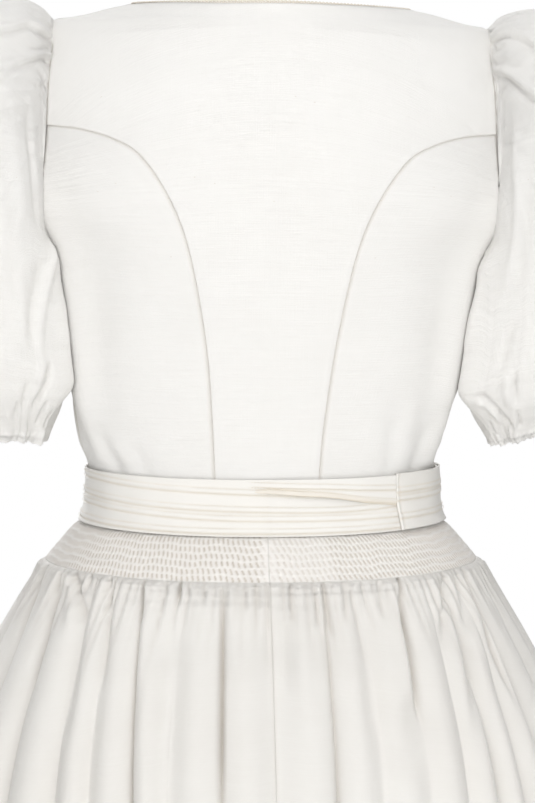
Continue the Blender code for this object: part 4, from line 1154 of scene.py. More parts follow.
class Nodes(Tree):
    """A Geometry Nodes tree with numbers as its named inputs."""

    def __init__(self, name, inputs):
        super().__init__(bpy.data.node_groups.new(name, "GeometryNodeTree"))
        sockets = self.tree.interface
        sockets.new_socket("Geometry", in_out="INPUT", socket_type="NodeSocketGeometry")
        self.ids = {}
        for label, default in inputs.items():
            socket = sockets.new_socket(label, in_out="INPUT", socket_type="NodeSocketFloat")
            socket.default_value = default
            self.ids[label] = socket.identifier
        sockets.new_socket("Geometry", in_out="OUTPUT", socket_type="NodeSocketGeometry")
        self.entry = self.add("NodeGroupInput").outputs
        self.way_out = self.add("NodeGroupOutput").inputs

    def scale(self, vector, amount):
        node = self.add("ShaderNodeVectorMath", vector, operation="SCALE")
        return self.fill(node, {"Scale": amount}).outputs[0]

    def resampled(self, length):
        """The path with its points a length apart."""
        node = self.add("GeometryNodeResampleCurve", mode="LENGTH")
        return self.fill(node, {"Curve": self.entry["Geometry"], "Length": length}).outputs[0]

    def end(self, geometry, material):
        realized = self.add("GeometryNodeRealizeInstances", geometry)
        painted = self.add("GeometryNodeSetMaterial", realized.outputs[0])
        painted.inputs["Material"].default_value = material
        smooth = self.add("GeometryNodeSetShadeSmooth", painted.outputs[0])
        self.set(smooth.outputs[0], self.way_out[0])


def plait_nodes(material, strands=3, sides=6):
    """Strands that cross each other along a path."""
    sizes = {
        "Turn length": 0.0085, "Half width": 0.0011, "Half height": 0.0006, "Strand radius": 0.0006,
        "Step": 0.0006,
    }
    made = Nodes("Plaited trim", sizes)
    upright = made.add("GeometryNodeSetCurveNormal", mode="Z_UP")
    made.fill(upright, {"Curve": made.resampled(made.entry["Step"])})
    tangent = made.add("GeometryNodeInputTangent").outputs[0]
    normal = made.add("GeometryNodeInputNormal").outputs[0]
    side = made.vector("CROSS_PRODUCT", tangent, normal)
    length = made.add("GeometryNodeSplineParameter").outputs["Length"]
    turns = made.math("MULTIPLY", made.math("DIVIDE", length, made.entry["Turn length"]), 2 * math.pi)
    joined = made.add("GeometryNodeJoinGeometry")
    for k in range(strands):
        phase = made.math("ADD", turns, 2 * math.pi * k / strands)
        out = made.math("MULTIPLY", made.math("SINE", phase), made.entry["Half width"])
        double = made.math("SINE", made.math("MULTIPLY", phase, 2.0))
        up = made.math("MULTIPLY", double, made.entry["Half height"])
        offset = made.vector("ADD", made.scale(normal, up), made.scale(side, out))
        moved = made.add("GeometryNodeSetPosition")
        made.fill(moved, {"Geometry": upright.outputs[0], "Offset": offset})
        section = made.add("GeometryNodeCurvePrimitiveCircle", mode="RADIUS")
        made.fill(section, {"Resolution": sides, "Radius": made.entry["Strand radius"]})
        tube = {"Curve": moved.outputs[0], "Profile Curve": section.outputs[0], "Fill Caps": True}
        made.set(made.fill(made.add("GeometryNodeCurveToMesh"), tube).outputs[0], joined.inputs[0])
    made.end(joined.outputs[0], material)
    return made


def stitch_nodes(material):
    """Short thread stitches laid end to end along a path."""
    made = Nodes("Stitches", {"Pitch": 0.0021, "Stitch length": 0.0014, "Thread radius": 0.00022})
    points = made.add("GeometryNodeCurveToPoints", made.resampled(made.entry["Pitch"]), mode="EVALUATED")
    bead = made.fill(made.add("GeometryNodeMeshUVSphere"), {"Segments": 4, "Rings": 3, "Radius": 1.0})
    radius, length = made.entry["Thread radius"], made.entry["Stitch length"]
    size = made.add("ShaderNodeCombineXYZ", radius, radius, made.math("MULTIPLY", length, 0.5))
    placed = made.fill(made.add("GeometryNodeInstanceOnPoints"), {
        "Points": points.outputs["Points"],
        "Instance": bead.outputs["Mesh"],
        "Rotation": points.outputs["Rotation"],
        "Scale": size.outputs[0],
    })
    made.end(placed.outputs[0], material)
    return made


def grown(name, paths, nodes, values):
    """A plain mesh that a node tree makes from paths."""
    pieces = []
    for number, path in enumerate(paths):
        source = line_object(f"{name}_path_{number}", path)
        modifier = source.modifiers.new("grow", "NODES")
        modifier.node_group = nodes.tree
        for label, value in values.items():
            modifier[nodes.ids[label]] = value
        bpy.context.view_layer.update()
        graph = bpy.context.evaluated_depsgraph_get()
        evaluated = source.evaluated_get(graph)
        pieces.append(bpy.data.meshes.new_from_object(evaluated, depsgraph=graph))
        curve = source.data
        source.modifiers.remove(modifier)
        bpy.data.objects.remove(source)
        bpy.data.curves.remove(curve)
    whole = bmesh.new()
    for piece in pieces:
        whole.from_mesh(piece)
        bpy.data.meshes.remove(piece)
    bmesh.ops.recalc_face_normals(whole, faces=whole.faces)
    mesh = mesh_from(whole, name)
    if not len(mesh.polygons):
        raise RuntimeError(f"{name} came out empty")
    mesh.shade_smooth()
    return linked(name, mesh)


class DRESS_OT_neck_braid(bpy.types.Operator):
    """The plaited trim on the neck edge"""

    bl_idname = "dress.neck_braid"
    bl_label = "Neck braid"

    rise = 0.0013

    def execute(self, context):
        neck_steps = 60
        left = opening_border(CLOSING_EDGE, 1, neck_steps)[1:]
        right = mirrored(opening_border(-CLOSING_EDGE, 1, neck_steps))[1:]
        places = np.concatenate([left, back_neckline(120)[1:-1], right[::-1]])
        edge = body_surface(places[:, 0], places[:, 1])
        outward = body_outward(places[:, 0], places[:, 1])
        tangents = unit(np.gradient(edge, axis=0))
        away = np.cross(outward, tangents)
        away *= np.sign(away[len(away) // 2, 2])
        path = lean(edge - outward * 0.0005 + away * self.rise)
        material = trim_material("Neck cord", 0.6)
        turn = {"Turn length": context.scene.dress_sizes.plait}
        made = grown("neck_braid_plait", [path[2:-2]], plait_nodes(material), turn)
        finished(made, material, ("neck_braid",))
        return {"FINISHED"}


class DRESS_OT_buttons(bpy.types.Operator):
    """Covered buttons down the closing"""

    bl_idname = "dress.buttons"
    bl_label = "Buttons"

    radius = 0.0052
    rise = 0.0026
    sides = 40
    # Columns share of the radius, share of the rise, from the middle of the top to the edge of the seat
    profile = (
        (0.18, 1.00), (0.36, 0.97), (0.56, 0.90), (0.76, 0.76), (0.90, 0.56), (0.98, 0.34), (1.00, 0.16),
        (0.93, 0.03), (0.80, 0.00), (0.40, 0.00),
    )
    middle_height = 0.98

    def execute(self, context):
        material = cloth_material("Button satin")
        for number, z in enumerate(np.linspace(BUTTON_TOP_Z, BUTTON_BOTTOM_Z, BUTTON_COUNT), start=1):
            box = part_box(f"button_{number}")
            middle = (np.array(box[0]) + np.array(box[1])) / 2
            out = body_outward(math.pi, z)
            made = self.button(f"button_{number}_cover", middle - out * self.rise * 0.5, out)
            finished(made, material, (f"button_{number}",))
        return {"FINISHED"}

    def button(self, name, seat, out):
        across = np.array([1.0, 0.0, 0.0])
        up = unit(np.cross(out, across))
        across = np.cross(up, out)
        whole = bmesh.new()
        layer = whole.loops.layers.uv.new("ClothMap")
        rings = []
        for share, height in self.profile:
            ring = []
            for k in range(self.sides):
                turn = 2 * math.pi * k / self.sides
                ripple = 1 + 0.012 * math.sin(9 * turn) * (height < 0.4)
                side = (across * math.cos(turn) + up * math.sin(turn)) * self.radius * share * ripple
                ring.append(whole.verts.new(seat + side + out * self.rise * height))
            rings.append(ring)
        steps = [(k, (k + 1) % self.sides) for k in range(self.sides)]
        for low, high in zip(rings, rings[1:]):
            for k, j in steps:
                whole.faces.new((low[k], high[k], high[j], low[j]))
        top = whole.verts.new(seat + out * self.rise * self.middle_height)
        bottom = whole.verts.new(seat)
        for k, j in steps:
            whole.faces.new((top, rings[0][k], rings[0][j]))
            whole.faces.new((bottom, rings[-1][j], rings[-1][k]))
        bmesh.ops.recalc_face_normals(whole, faces=whole.faces)
        for face in whole.faces:
            for loop in face.loops:
                place = np.array(loop.vert.co) - seat
                loop[layer].uv = (float(place @ across), float(place @ up))
        mesh = mesh_from(whole, name)
        mesh.shade_smooth()
        return linked(name, mesh)


# The sleeves


def sleeve_base(theta):
    """The left sleeve's rings as its solid has them, for angles round the ring."""
    z = UNDERARM / 2 * (1 - np.cos(theta))
    front = np.sin(theta) < 0
    reach = np.where(front, column(ARMHOLE, z, 2), column(ARMHOLE, z, 1))
    angle = angle_at(reach, z)
    edge = body_surface(np.where(front, math.pi - angle, angle), z)
    edge[:, 0] += SEWN_GAP
    rings = [edge]
    upper = smooth_step(0.75 + 0.9 * np.cos(theta))
    wave = np.cos(SLEEVE_WAVES * theta)
    for number, (top_x, top_z, under_z, clear, depth, head, cuff) in enumerate(SLEEVE_RINGS):
        power = 2 / (SLEEVE_SQUARENESS + min(MOST_SQUARED, SQUARED_BY_RING * max(0, number - 1)))
        under_x = float(column(BODY, under_z, 1)) + SLEEVE_CLEARANCE + clear
        top, under = np.array([top_x, 0, top_z]), np.array([under_x, 0, under_z])
        swell = (head * wave * upper + cuff * wave) * WAVES_KEPT
        half = np.linalg.norm(top - under) / 2
        lift = (top - under) / (2 * half)
        reach = (half + swell) * signed_power(np.cos(theta), power)
        ring = (top + under) / 2 + lift * reach[:, None]
        ring[:, 1] += (depth + swell) * signed_power(np.sin(theta), power)
        rings.append(ring)
    return np.array(rings)


def smooth_rings(rings, at):
    """Rings at fractional places between the given ones, on a smooth curve through them."""
    ends = padded(rings)
    i = np.clip(np.floor(at).astype(int), 0, len(rings) - 2)
    return between_points(*(ends[i + k] for k in range(4)), (at - i)[:, None, None])


def sleeve_creases(degrees, rings, rows):
    """Heights of the creases over a sleeve."""
    per_degree, per_ring, at_head = 0.00165, 0.032, 0.3
    total = np.zeros(np.broadcast(degrees, rings).shape)
    for places, width, height, steeper in rows:
        middle = places[len(places) // 2][0]
        turned = wrapped(degrees - middle, 360) + middle
        x, y = np.broadcast_arrays(turned * per_degree, rings * per_ring)
        line = along(np.array(places, float) * (per_degree, per_ring), 12)
        ends = (places[0][1] < at_head, places[-1][1] < at_head)
        total += line_height(x, y, line, width, height, steeper, ends)
    return total


# At the back, the share of the sleeve's rise beside the armhole that is taken away, and its shift out
RISE_TAKEN, SHIFT_OUT = 0.68, 0.0026
# How far the sleeve is drawn in over the wearer's back, how much less at the underarm, and its clearance
DRAWN_OVER_BACK, LESS_AT_UNDERARM, BACK_CLEARANCE = 0.0130, 0.28, 0.0014


def eased(grid, theta, ring):
    """The left sleeve with less of a step up beside the armhole at the back."""
    degrees = np.degrees(theta)[None, :]
    behind = window(degrees, 30, 40, 165, 30)
    share = 1 - RISE_TAKEN * window(ring, 0, 0.4, 4.2, 4.0)
    lowered = grid[:1, :, 1] + (grid[..., 1] - grid[:1, :, 1]) * share
    moved = grid.copy()
    moved[..., 1] += (lowered - grid[..., 1]) * behind
    beside_edge = behind * smooth_step((120 - degrees) / 30)
    moved[..., 0] += SHIFT_OUT * beside_edge * window(ring, 0, 0.8, 3.2, 2.2)
    return moved


def beside_body(grid):
    """The left sleeve drawn in over the curve of the wearer's back, but clear of it."""
    x, y, z = grid[..., 0], grid[..., 1], grid[..., 2]
    near_back = bell(y - 0.050, 0.021) * window(z, -0.292, 0.03, -0.150, 0.03)
    near_back = near_back * (1 - LESS_AT_UNDERARM * bell(z + 0.187, 0.020))
    inner = smooth_step((column(BODY, z, 1) + 0.050 - x) / 0.045)
    moved = x - DRAWN_OVER_BACK * near_back * inner
    clear = body_side(np.maximum(y, 0), z) + BACK_CLEARANCE
    beside = (y > 0) & (z < UNDERARM) & (z > -0.32)
    return np.stack([np.where(beside, np.maximum(moved, clear), moved), y, z], axis=-1)


class DRESS_OT_sleeves(bpy.types.Operator):
    """The puff sleeves, with the gathers at the head and at the cuff"""

    bl_idname = "dress.sleeves"
    bl_label = "Sleeves"

    columns = 264
    # Rings down from the armhole: the end of the head, the start of the cuff and its elastic
    head_end, cuff_start, casing_ring = 3, 8.4, 10.45
    flange, gather_height, puff_height = 0.0035, 0.0022, 0.0012
    right_cuff_out, right_cuff_skew, right_cuff_slant, right_cuff_corner = 0.0048, 0.14, 0.16, 0.172

    def execute(self, context):
        theta = np.linspace(0, 2 * math.pi, self.columns, endpoint=False)
        base = sleeve_base(theta)
        head = np.linspace(0, self.head_end, 50)[:-1]
        middle = np.linspace(self.head_end, self.cuff_start, 42)[:-1]
        at = np.concatenate([head, middle, np.linspace(self.cuff_start, len(base) - 1, 50)])
        for side, sign, rows in (("left", 1, LEFT_SLEEVE_CREASES), ("right", -1, RIGHT_SLEEVE_CREASES)):
            self.sleeve(side, sign, rows, base, theta, at)
        return {"FINISHED"}

    def sleeve(self, side, sign, rows, base, theta, at):
        sizes = bpy.context.scene.dress_sizes
        degrees = np.degrees(theta)[None, :]
        ring = at[:, None]
        grid = beside_body(eased(smooth_rings(base, at), theta, ring))
        if sign < 0:
            # The right cuff hangs further out, and its opening slants
            low = smooth_step((ring - self.cuff_start) / 2.2)
            inner = smooth_step((0.235 - grid[..., 0]) / 0.05)
            grid[..., 0] += self.right_cuff_out * low * inner
            skewed = smooth_step((ring - 6.6) / 1.6) * np.clip(0.045 - grid[..., 1], 0, 0.1)
            grid[..., 0] += self.right_cuff_skew * skewed * inner
            grid[..., 2] += self.right_cuff_slant * (grid[..., 0] - self.right_cuff_corner) * low
        outward = outward_of(grid, True)
        creases = sleeve_creases(degrees, ring, rows) * sizes.creases
        height = creases.copy()
        for place, width, depth, reach in HEAD_PLEATS:
            wander = 2.0 * np.sin(ring * 1.3 + place)
            aside = wrapped(degrees - place - wander, 360)
            fade = smooth_step(1 - ring / reach)
            height -= 0.7 * depth * bell(aside, width) * fade
        height += self.cuff(degrees, ring, sign)
        height += 0.0008 * soft_noise(degrees / 42 + sign, ring / 3.1, 21) * smooth_step(ring)
        # The part that faces the body stays flat, so that it keeps clear of it
        facing = smooth_step((-np.cos(theta) - 0.80) / 0.15)[None, :]
        height = height * (1 - 0.85 * facing) - 0.0004 * facing
        # The head is sewn in flat, in a shallow groove
        height = height * smooth_step(ring / 0.25 + 0.12) - 0.0002 * bell(ring, 0.05)
        outer = grid + outward * height[..., None]
        # A seam allowance runs in behind the bodice's edge
        tucked = outer[:1] - np.array([1.0, 0, 0]) * self.flange
        middle = outer[:1].mean(axis=1, keepdims=True)
        tucked = tucked + unit(middle - outer[:1]) * self.flange * 0.6
        outer = np.concatenate([tucked, outer])
        outward = np.concatenate([outward[:1], outward])
        inner = outer - outward * sizes.cloth
        flip = np.array([sign, 1, 1])
        outer, inner = lean(outer * flip), lean(inner * flip)
        seam = bell(ring, 0.05) * 0.14 + np.zeros_like(height)
        # Painted shade in the troughs of the creases
        hollow = smooth_step(-creases / 0.005) * 0.16
        seam, hollow = (np.concatenate([value[:1], value]) for value in (seam, hollow))
        values = {"seam": seam, "hollow": hollow}
        cloth_piece(
            f"sleeve_{side}", (outer, inner), (), 3, values, "Sleeve linen", "sleeve_linen", "gathered",
            wrap=True, rows_down=True,
        )

    def cuff(self, degrees, ring, sign):
        """The gathers that run down to the elastic at the cuff's edge, and the puffs below it."""
        radians = np.radians(degrees) + 0.03 * np.sin(ring * 1.7)
        fine = np.sin(29 * radians + 1.6 * np.sin(4 * radians + sign))
        coarse = np.sin(15 * radians + 1.3 * np.sin(3 * radians) + 2 * sign)
        puckers = 1 - np.abs(fine) ** 0.8 + 0.6 * coarse
        length = 0.9 + 0.35 * np.sin(7 * radians + sign) + 0.25 * coarse
        above = smooth_step((ring - (self.casing_ring - 1.25 * length)) / (1.1 * length))
        below = smooth_step((ring - self.casing_ring - 0.02) / 0.3)
        return self.gather_height * puckers * above + self.puff_height * below * puckers


# The sash


def sash_base(angle, share, out):
    z = SASH_TOP + (SASH_BOTTOM - SASH_TOP) * share
    z = z - dip(angle, z)
    away = SASH_CLEARANCE + out + column(SASH_STANDS_OFF, share, 1)
    return body_surface(angle, z) + body_outward(angle, z, level=True) * np.asarray(away)[..., None]


TUCK_RISE, TUCK_HALF_WIDTH = 0.00045, 0.0019


def tuck_heights(share, places):
    """Raised sewn tucks at shares of the height, and how much each point lies beside one."""
    relief = np.zeros(share.shape)
    shade = np.zeros(share.shape)
    for place in places:
        aside = (share - place) * SASH_HEIGHT
        relief += TUCK_RISE * smooth_step((TUCK_HALF_WIDTH - np.abs(aside)) / 0.0008)
        # A groove on the lower side, and shade on both, which is deeper below
        relief -= 0.0004 * bell(aside - 0.0024, 0.0006)
        shade += 0.5 * bell(aside - TUCK_HALF_WIDTH, 0.0008) + 0.26 * bell(aside + TUCK_HALF_WIDTH, 0.0006)
    return relief, shade


class DRESS_OT_sash(bpy.types.Operator):
    """The satin sash, its crossing layer and its side length, with their stitches"""

    bl_idname = "dress.sash"
    bl_label = "Sash"

    rows = 56
    layer = SASH_CLOTH + LAID_ON_GAP
    # The crossing layer's start lies this much deeper
    sunk = 0.0024
    # Stitches beside each tuck's middle, and above the cloth
    stitch_offset, stitch_height = 0.0017, 0.00055

    def execute(self, context):
        self.stitch_paths = []
        angles = np.linspace(0, 2 * math.pi, 380, endpoint=False)
        share, angle = np.meshgrid(np.linspace(1, 0, self.rows), angles, indexing="ij")
        degrees = wrapped(np.degrees(angle), 360)
        places = [column(SASH_TUCKS, degrees, k) for k in range(1, 5)]
        self.length("sash_band", angle, share, places, np.zeros(share.shape), wrap=True)
        step = 2 * math.pi / SASH_COLUMNS
        crossing = np.linspace(CROSSING_START * step, JOINING_SEAM * step, 130)
        top, bottom = (column(CROSSING_LAYER, np.degrees(crossing), k) for k in (1, 2))
        down = np.linspace(1, 0, 34)[:, None]
        share = top[None] + (bottom - top)[None] * down
        angle = np.broadcast_to(crossing[None], share.shape)
        tucks = [top[None] + (bottom - top)[None] * k + np.zeros(share.shape) for k in CROSSING_TUCKS]
        # The layer comes out from under the band's own tuck
        progress = np.linspace(0, 1, share.shape[1])[None] + np.zeros(share.shape)
        out = self.layer - self.sunk * (1 - smooth_step(progress / 0.28))
        # Painted shade in a band along the layer's lower edge
        edge_shade = 0.42 * smooth_step((0.0042 - (bottom[None] - share) * SASH_HEIGHT) / 0.001)
        self.length("sash_crossing", angle, share, tucks, out, edge_shade=edge_shade)
        side = np.linspace(JOINING_SEAM * step, LAPPED_END * step, 240)
        share, angle = np.meshgrid(np.linspace(0.99, -0.03, self.rows), side, indexing="ij")
        tucks = [np.full(share.shape, k) for k in SIDE_LENGTH_TUCKS]
        self.length("sash_side", angle, share, tucks, np.full(share.shape, self.layer), piped=True)
        self.stitches(context)
        return {"FINISHED"}

    def length(self, name, angle, share, tucks, out, wrap=False, piped=False, edge_shade=0.0):
        """One length of the sash, piped at its start or with painted shade along its lower edge, and its
        stitches' paths.
        """
        relief, shade = tuck_heights(share, tucks)
        shade += edge_shade
        metres = angle * WAIST_RADIUS
        folds = 0.0005 * soft_noise(metres * 9, share * 0.9, 31 + len(name))
        folds += 0.00035 * soft_noise(metres * 30, share * 0.5, 32)
        height = relief + folds * smooth_step(np.minimum(share + 0.05, 1.05 - share) / 0.2)
        for edge in (share[0], share[-1]):
            height += 0.0003 * smooth_step(1 - np.abs(share - edge) / 0.06)
        if piped:
            near = np.abs(angle - angle[:, :1]) * WAIST_RADIUS
            height += 0.0009 * bell(near - 0.0012, 0.0012)
            height -= 0.0004 * bell(near - 0.0034, 0.0007)
            shade += 0.25 * bell(near - 0.0034, 0.0008)
        cloth = SASH_CLOTH * 0.75
        outer = lean(sash_base(angle, share, out + cloth + height))
        inner = lean(sash_base(angle, share, out + np.minimum(height, 0) + 0.0001))
        cloth_piece(
            name, (outer, inner), () if wrap else SIDES, 4, {"hollow": np.clip(shade, 0, 0.8)},
            "Sash satin", "sash_satin", "laid", wrap, rests_on=[],
        )
        for tuck in tucks:
            for beside in (-self.stitch_offset, self.stitch_offset):
                line_share = tuck[0] + beside / SASH_HEIGHT
                line = lean(sash_base(angle[0], line_share, out[0] + cloth + self.stitch_height))
                self.stitch_paths.append(np.concatenate([line, line[:1]]) if wrap else line[2:-2])

    def stitches(self, context):
        material = trim_material("Sash thread", 0.5)
        pitch = context.scene.dress_sizes.stitch
        values = {"Pitch": pitch, "Stitch length": pitch * 0.68}
        made = grown("sash_stitches", self.stitch_paths, stitch_nodes(material), values)
        finished(made, material)


# The smocking and the skirt


class DRESS_OT_smocking(bpy.types.Operator):
    """The smocked band, whose cells open between rows of gathering"""

    bl_idname = "dress.smocking"
    bl_label = "Smocking"

    points_per_cell = 6
    points_per_row = 5
    ridge = 0.0007
    pleat = 0.0005
    slot = 0.0004
    pillar_half_width = 0.0042

    def execute(self, context):
        sizes = context.scene.dress_sizes
        columns = sizes.smocking_cells * self.points_per_cell
        rows = sizes.smocking_rows * self.points_per_row
        top, bottom = WAIST_SEAM - SEAM_GAP, GATHERS_START
        for side, start, end in (("left", 0, math.pi), ("right", math.pi, 2 * math.pi)):
            angles = np.linspace(start, end, columns + 1)
            v, angle = np.meshgrid(np.linspace(0, 1, rows + 1), angles, indexing="ij")
            z = bottom + (top - bottom) * v
            height, hollow = self.relief(sizes, v, angle, z)
            grids = [skirt_surface(angle, z, out) for out in (height - 0.0010, -0.0026)]
            cloth_piece(
                f"smocking_{side}", grids, SIDES, 9, {"hollow": hollow}, "Smocked cloth", "skirt_cloth",
                "gathered",
            )
        return {"FINISHED"}

    def relief(self, sizes, v, angle, z):
        """Heights of the gathered cells, and the painted shade in the slots and open cells between them."""
        rows = v * sizes.smocking_rows
        cells = angle / math.pi * sizes.smocking_cells
        sway = 0.10 * np.sin(cells * 0.55) + 0.07 * np.sin(cells * 1.31 + rows)
        rows = rows + sway
        row_number = np.floor(rows)
        in_row = rows - row_number
        offset = 0.5 * (row_number % 2) + 0.16 * np.sin(row_number * 2.4)
        lean_in_cell = 0.20 * np.cos(math.pi * in_row)
        phase = 2 * math.pi * (cells + offset + lean_in_cell)
        pleat = 0.5 + 0.5 * np.cos(phase)
        open_part = smooth_step(np.sin(math.pi * in_row) * 1.7 - 0.3)
        slot = open_part * smooth_step((0.44 - pleat) / 0.34)
        around = wrapped(angle)
        centre_distance = np.abs(around) * SMOCKING_RADIUS
        pillar = smooth_step(1.4 * (1 - centre_distance / self.pillar_half_width))
        height = self.ridge * (1 - open_part) * (0.75 + 0.25 * pleat) + self.pleat * pleat * open_part
        height = (height - self.slot * slot) * (1 - 0.6 * pillar)
        height -= 0.0003 * bell(centre_distance, 0.0008)
        # Right of the middle the cells are closed further, so less painted shade lies in them
        closed = window(around, -0.30, 0.05, -0.01, 0.02)
        pressed = smooth_step((SASH_BOTTOM + 0.004 - z) / 0.006)
        # Painted shade in the slots and the open cells, less at the middle and along the band's lower edge
        hollow = np.clip((slot * 0.56 + 0.12 * open_part) * (1 - 0.7 * pillar) * (1 - 0.4 * closed), 0, 1)
        flush = smooth_step(rows / 0.3)
        return height * pressed * flush, hollow * (0.4 + 0.6 * flush)


def fold_tracks():
    """Each crease round the skirt: angles at the smocking, lower down, at the hem, depth, softness."""
    creases = [(0.0, 0.0, SEAM_FOLD_DEPTH, 1.2), *LEFT_BACK_FOLDS, (90, 90, 0.8, 0.8)]
    creases += [(180 - a, 180 - b, c, d) for a, b, c, d in reversed(LEFT_FRONT_FOLDS)]
    creases += [(180, 180, SEAM_FOLD_DEPTH, 1.0)]
    creases += [(180 + a, 180 + b, c, d) for a, b, c, d in RIGHT_FRONT_FOLDS]
    creases += [(270, 270, 0.8, 0.8)]
    creases += [(360 - a, 360 - b, c, d) for a, b, c, d in reversed(RIGHT_BACK_FOLDS)]
    middle = 2 + len(LEFT_BACK_FOLDS) + len(LEFT_FRONT_FOLDS)
    tracks = []
    for i, (top, low, depth, softness) in enumerate(creases):
        first, last = (0, middle) if i < middle else (middle, len(creases))
        even = (0 if i < middle else 180) + 180 * (i - first) / (last - first)
        hem = low + (even - low) * HEM_EVENNESS
        tracks.append((math.radians(top), math.radians(low), math.radians(hem), depth, softness))
    return tracks, middle


def crease_angles(track, z):
    top, low, hem = track[:3]
    fallen = np.clip((SMOCKING_END - z) / (SMOCKING_END - FOLDS_HANG_AT), 0, 1)
    upper = top + (low - top) * fallen**0.75
    lower = low + (hem - low) * smooth_step((FOLDS_HANG_AT - z) / (FOLDS_HANG_AT - HEM))
    return np.where(z > FOLDS_HANG_AT, upper, lower)


def skirt_radius(below):
    """About how far the cloth is from the dress's middle, at a distance below the smocking."""
    return 0.15 + 0.5 * below


class DRESS_OT_skirt(bpy.types.Operator):
    """The gathered skirt, in two halves that meet at the middle of the back and front"""

    bl_idname = "dress.skirt"
    bl_label = "Skirt"

    points_per_fold = 22
    gather_seed = 8
    # A crease that starts above this height runs in under the band
    starts_at_band = -0.3985
    gather_count = 152
    deepest_gather = 0.0052
    tuck_in = 0.0040
    # How far the cloth stands out right under the band
    fullness = 0.0042
    # Strengths of the painted shade in sharp folds, between the gathers and in narrow creases, and of the
    # seams' dark line
    fold_shade, gather_shade, crease_shade, seam_shade = 0.46, 0.24, 0.22, 0.12

    def execute(self, context):
        sizes = context.scene.dress_sizes
        tracks, middle = fold_tracks()
        z = self.heights()
        angle, height, sharp = [], [], []
        rng = np.random.default_rng(self.gather_seed)
        depth_here = column(FOLD_DEPTH, z, 1)
        for i, track in enumerate(tracks):
            after = tracks[(i + 1) % len(tracks)]
            start, end = crease_angles(track, z), crease_angles(after, z)
            if i == len(tracks) - 1:
                end = end + 2 * math.pi
            skew = 1 + 0.30 * rng.uniform(-1, 1)
            crest_height = rng.uniform(0.88, 1.06)
            for k in range(self.points_per_fold):
                t = k / self.points_per_fold
                # The points lie closer together at the creases
                t = t - 0.11 * math.sin(2 * math.pi * t)
                softness = track[4] * (1 - t) + after[4] * t
                crest = (math.sin(math.pi * t**skew) ** 2 + 0.0015) ** (softness / 2) * crest_height
                depth = track[3] * (1 - t) + after[3] * t
                angle.append(start + (end - start) * t)
                height.append(-depth_here * depth * (1 - crest))
                sharp.append(max(0.0, 1.0 - softness) * (1 - math.sin(math.pi * t)) ** 6)
        angle, height, sharp = np.array(angle).T, np.array(height).T, np.array(sharp)[None, :]
        ring = np.broadcast_to(z[:, None], angle.shape)
        gathers, between = self.gathers(angle, ring, rng)
        creases, shade = self.creases(angle, ring)
        creases *= sizes.creases
        below = GATHERS_START - ring
        cap = smooth_step(below / 0.0030)
        height = height * smooth_step((below + 0.003) / 0.024) + (creases + gathers) * cap
        height += self.fullness * cap * np.exp(-below / 0.030) - 0.0004 * (1 - cap)
        height -= (self.tuck_in - 0.0004) * smooth_step(-below / 0.0008)
        half = middle * self.points_per_fold
        outer = skirt_surface(angle, ring, height)
        normals = outward_of(outer, True)
        inner = outer - normals * sizes.skirt_wall
        inner[0, :, 2], inner[-1, :, 2] = outer[0, :, 2], outer[-1, :, 2]
        # Painted shade in the sharp folds, between the gathers and in the narrow creases
        hollow = self.fold_shade * sharp * smooth_step(below / 0.04)
        hollow = hollow + self.gather_shade * np.minimum(between, 1.0)
        hollow += smooth_step(shade / 0.006) * self.crease_shade
        seam = bell(np.abs(np.sin(angle)) * SKIRT_SEAM_RADIUS, 0.0007) * self.seam_shade
        for side, first, last in (("left", 0, half), ("right", half, outer.shape[1])):
            pick = np.arange(first, last + 1) % outer.shape[1]
            outside, inside, dark, sewn = (grid[:, pick][::-1] for grid in (outer, inner, hollow, seam))
            values = {"hollow": np.clip(dark, 0, 1), "seam": sewn}
            cloth_piece(
                f"skirt_{side}", (outside, inside), SIDES, 3, values, "Skirt cloth", "skirt_cloth", "gathered"
            )
        return {"FINISHED"}

    def heights(self):
        """Ring heights: two behind the smocking, then close together, then wider apart."""
        share = np.linspace(0, 1, 116)
        below = (GATHERS_START - HEM) * (0.22 * share + 0.78 * share**2.3)
        return GATHERS_START - np.concatenate([[-0.0025, -0.0010], below])

    def gathers(self, angle, z, rng):
        """Heights of the small gathers that start at the smocking and run out at uneven lengths, and
        how much each point lies between two of them."""
        total, between = np.zeros(angle.shape), np.zeros(angle.shape)
        below = np.maximum(GATHERS_START - z, 0.0)
        places = np.linspace(-math.pi, math.pi, self.gather_count + 1)[:-1]
        places = places + rng.uniform(-0.013, 0.013, len(places))
        reaches = rng.uniform(0.022, 0.085, len(places))
        depths = rng.uniform(0.0020, self.deepest_gather, len(places))
        drifts = rng.uniform(-0.30, 0.05, len(places))
        radius = skirt_radius(below)
        for place, reach, depth, drift in zip(places, reaches, depths, drifts):
            line = place * (1 + drift * np.minimum(below, 0.2))
            turn = wrapped(angle - line)
            aside = np.abs(turn * radius)
            fade = smooth_step(1 - below / reach)
            narrow = bell(aside, 0.0010 + 0.010 * below)
            wide = bell(aside, 0.0030 + 0.050 * below)
            total -= depth * (0.65 * narrow + 0.5 * wide) * fade
            between += depth / self.deepest_gather * narrow * fade
        return total, between

    def creases(self, angle, z):
        """Heights of the listed creases, and how much each point lies down in a narrow one."""
        total, shade = np.zeros(angle.shape), np.zeros(angle.shape)
        radius = skirt_radius(SMOCKING_END - z)
        for places, width, height in SKIRT_CREASES:
            line = along([(math.radians(a), h) for a, h in places], 10)
            middle = line[len(line) // 2, 0]
            turned = wrapped(angle - middle)
            near = np.abs(turned) < 0.6
            line_x = (line[:, 0] - middle) * skirt_radius(SMOCKING_END - line[:, 1])
            path = np.stack([line_x, line[:, 1]], axis=1)
            ends = (places[0][1] > self.starts_at_band, False)
            here = line_height((turned * radius)[near], z[near], path, width, height, 1, ends)
            total[near] += here
            shade[near] += np.maximum(-here, 0) * min(1.0, (0.0026 / width) ** 2)
        return total, shade


# The studio


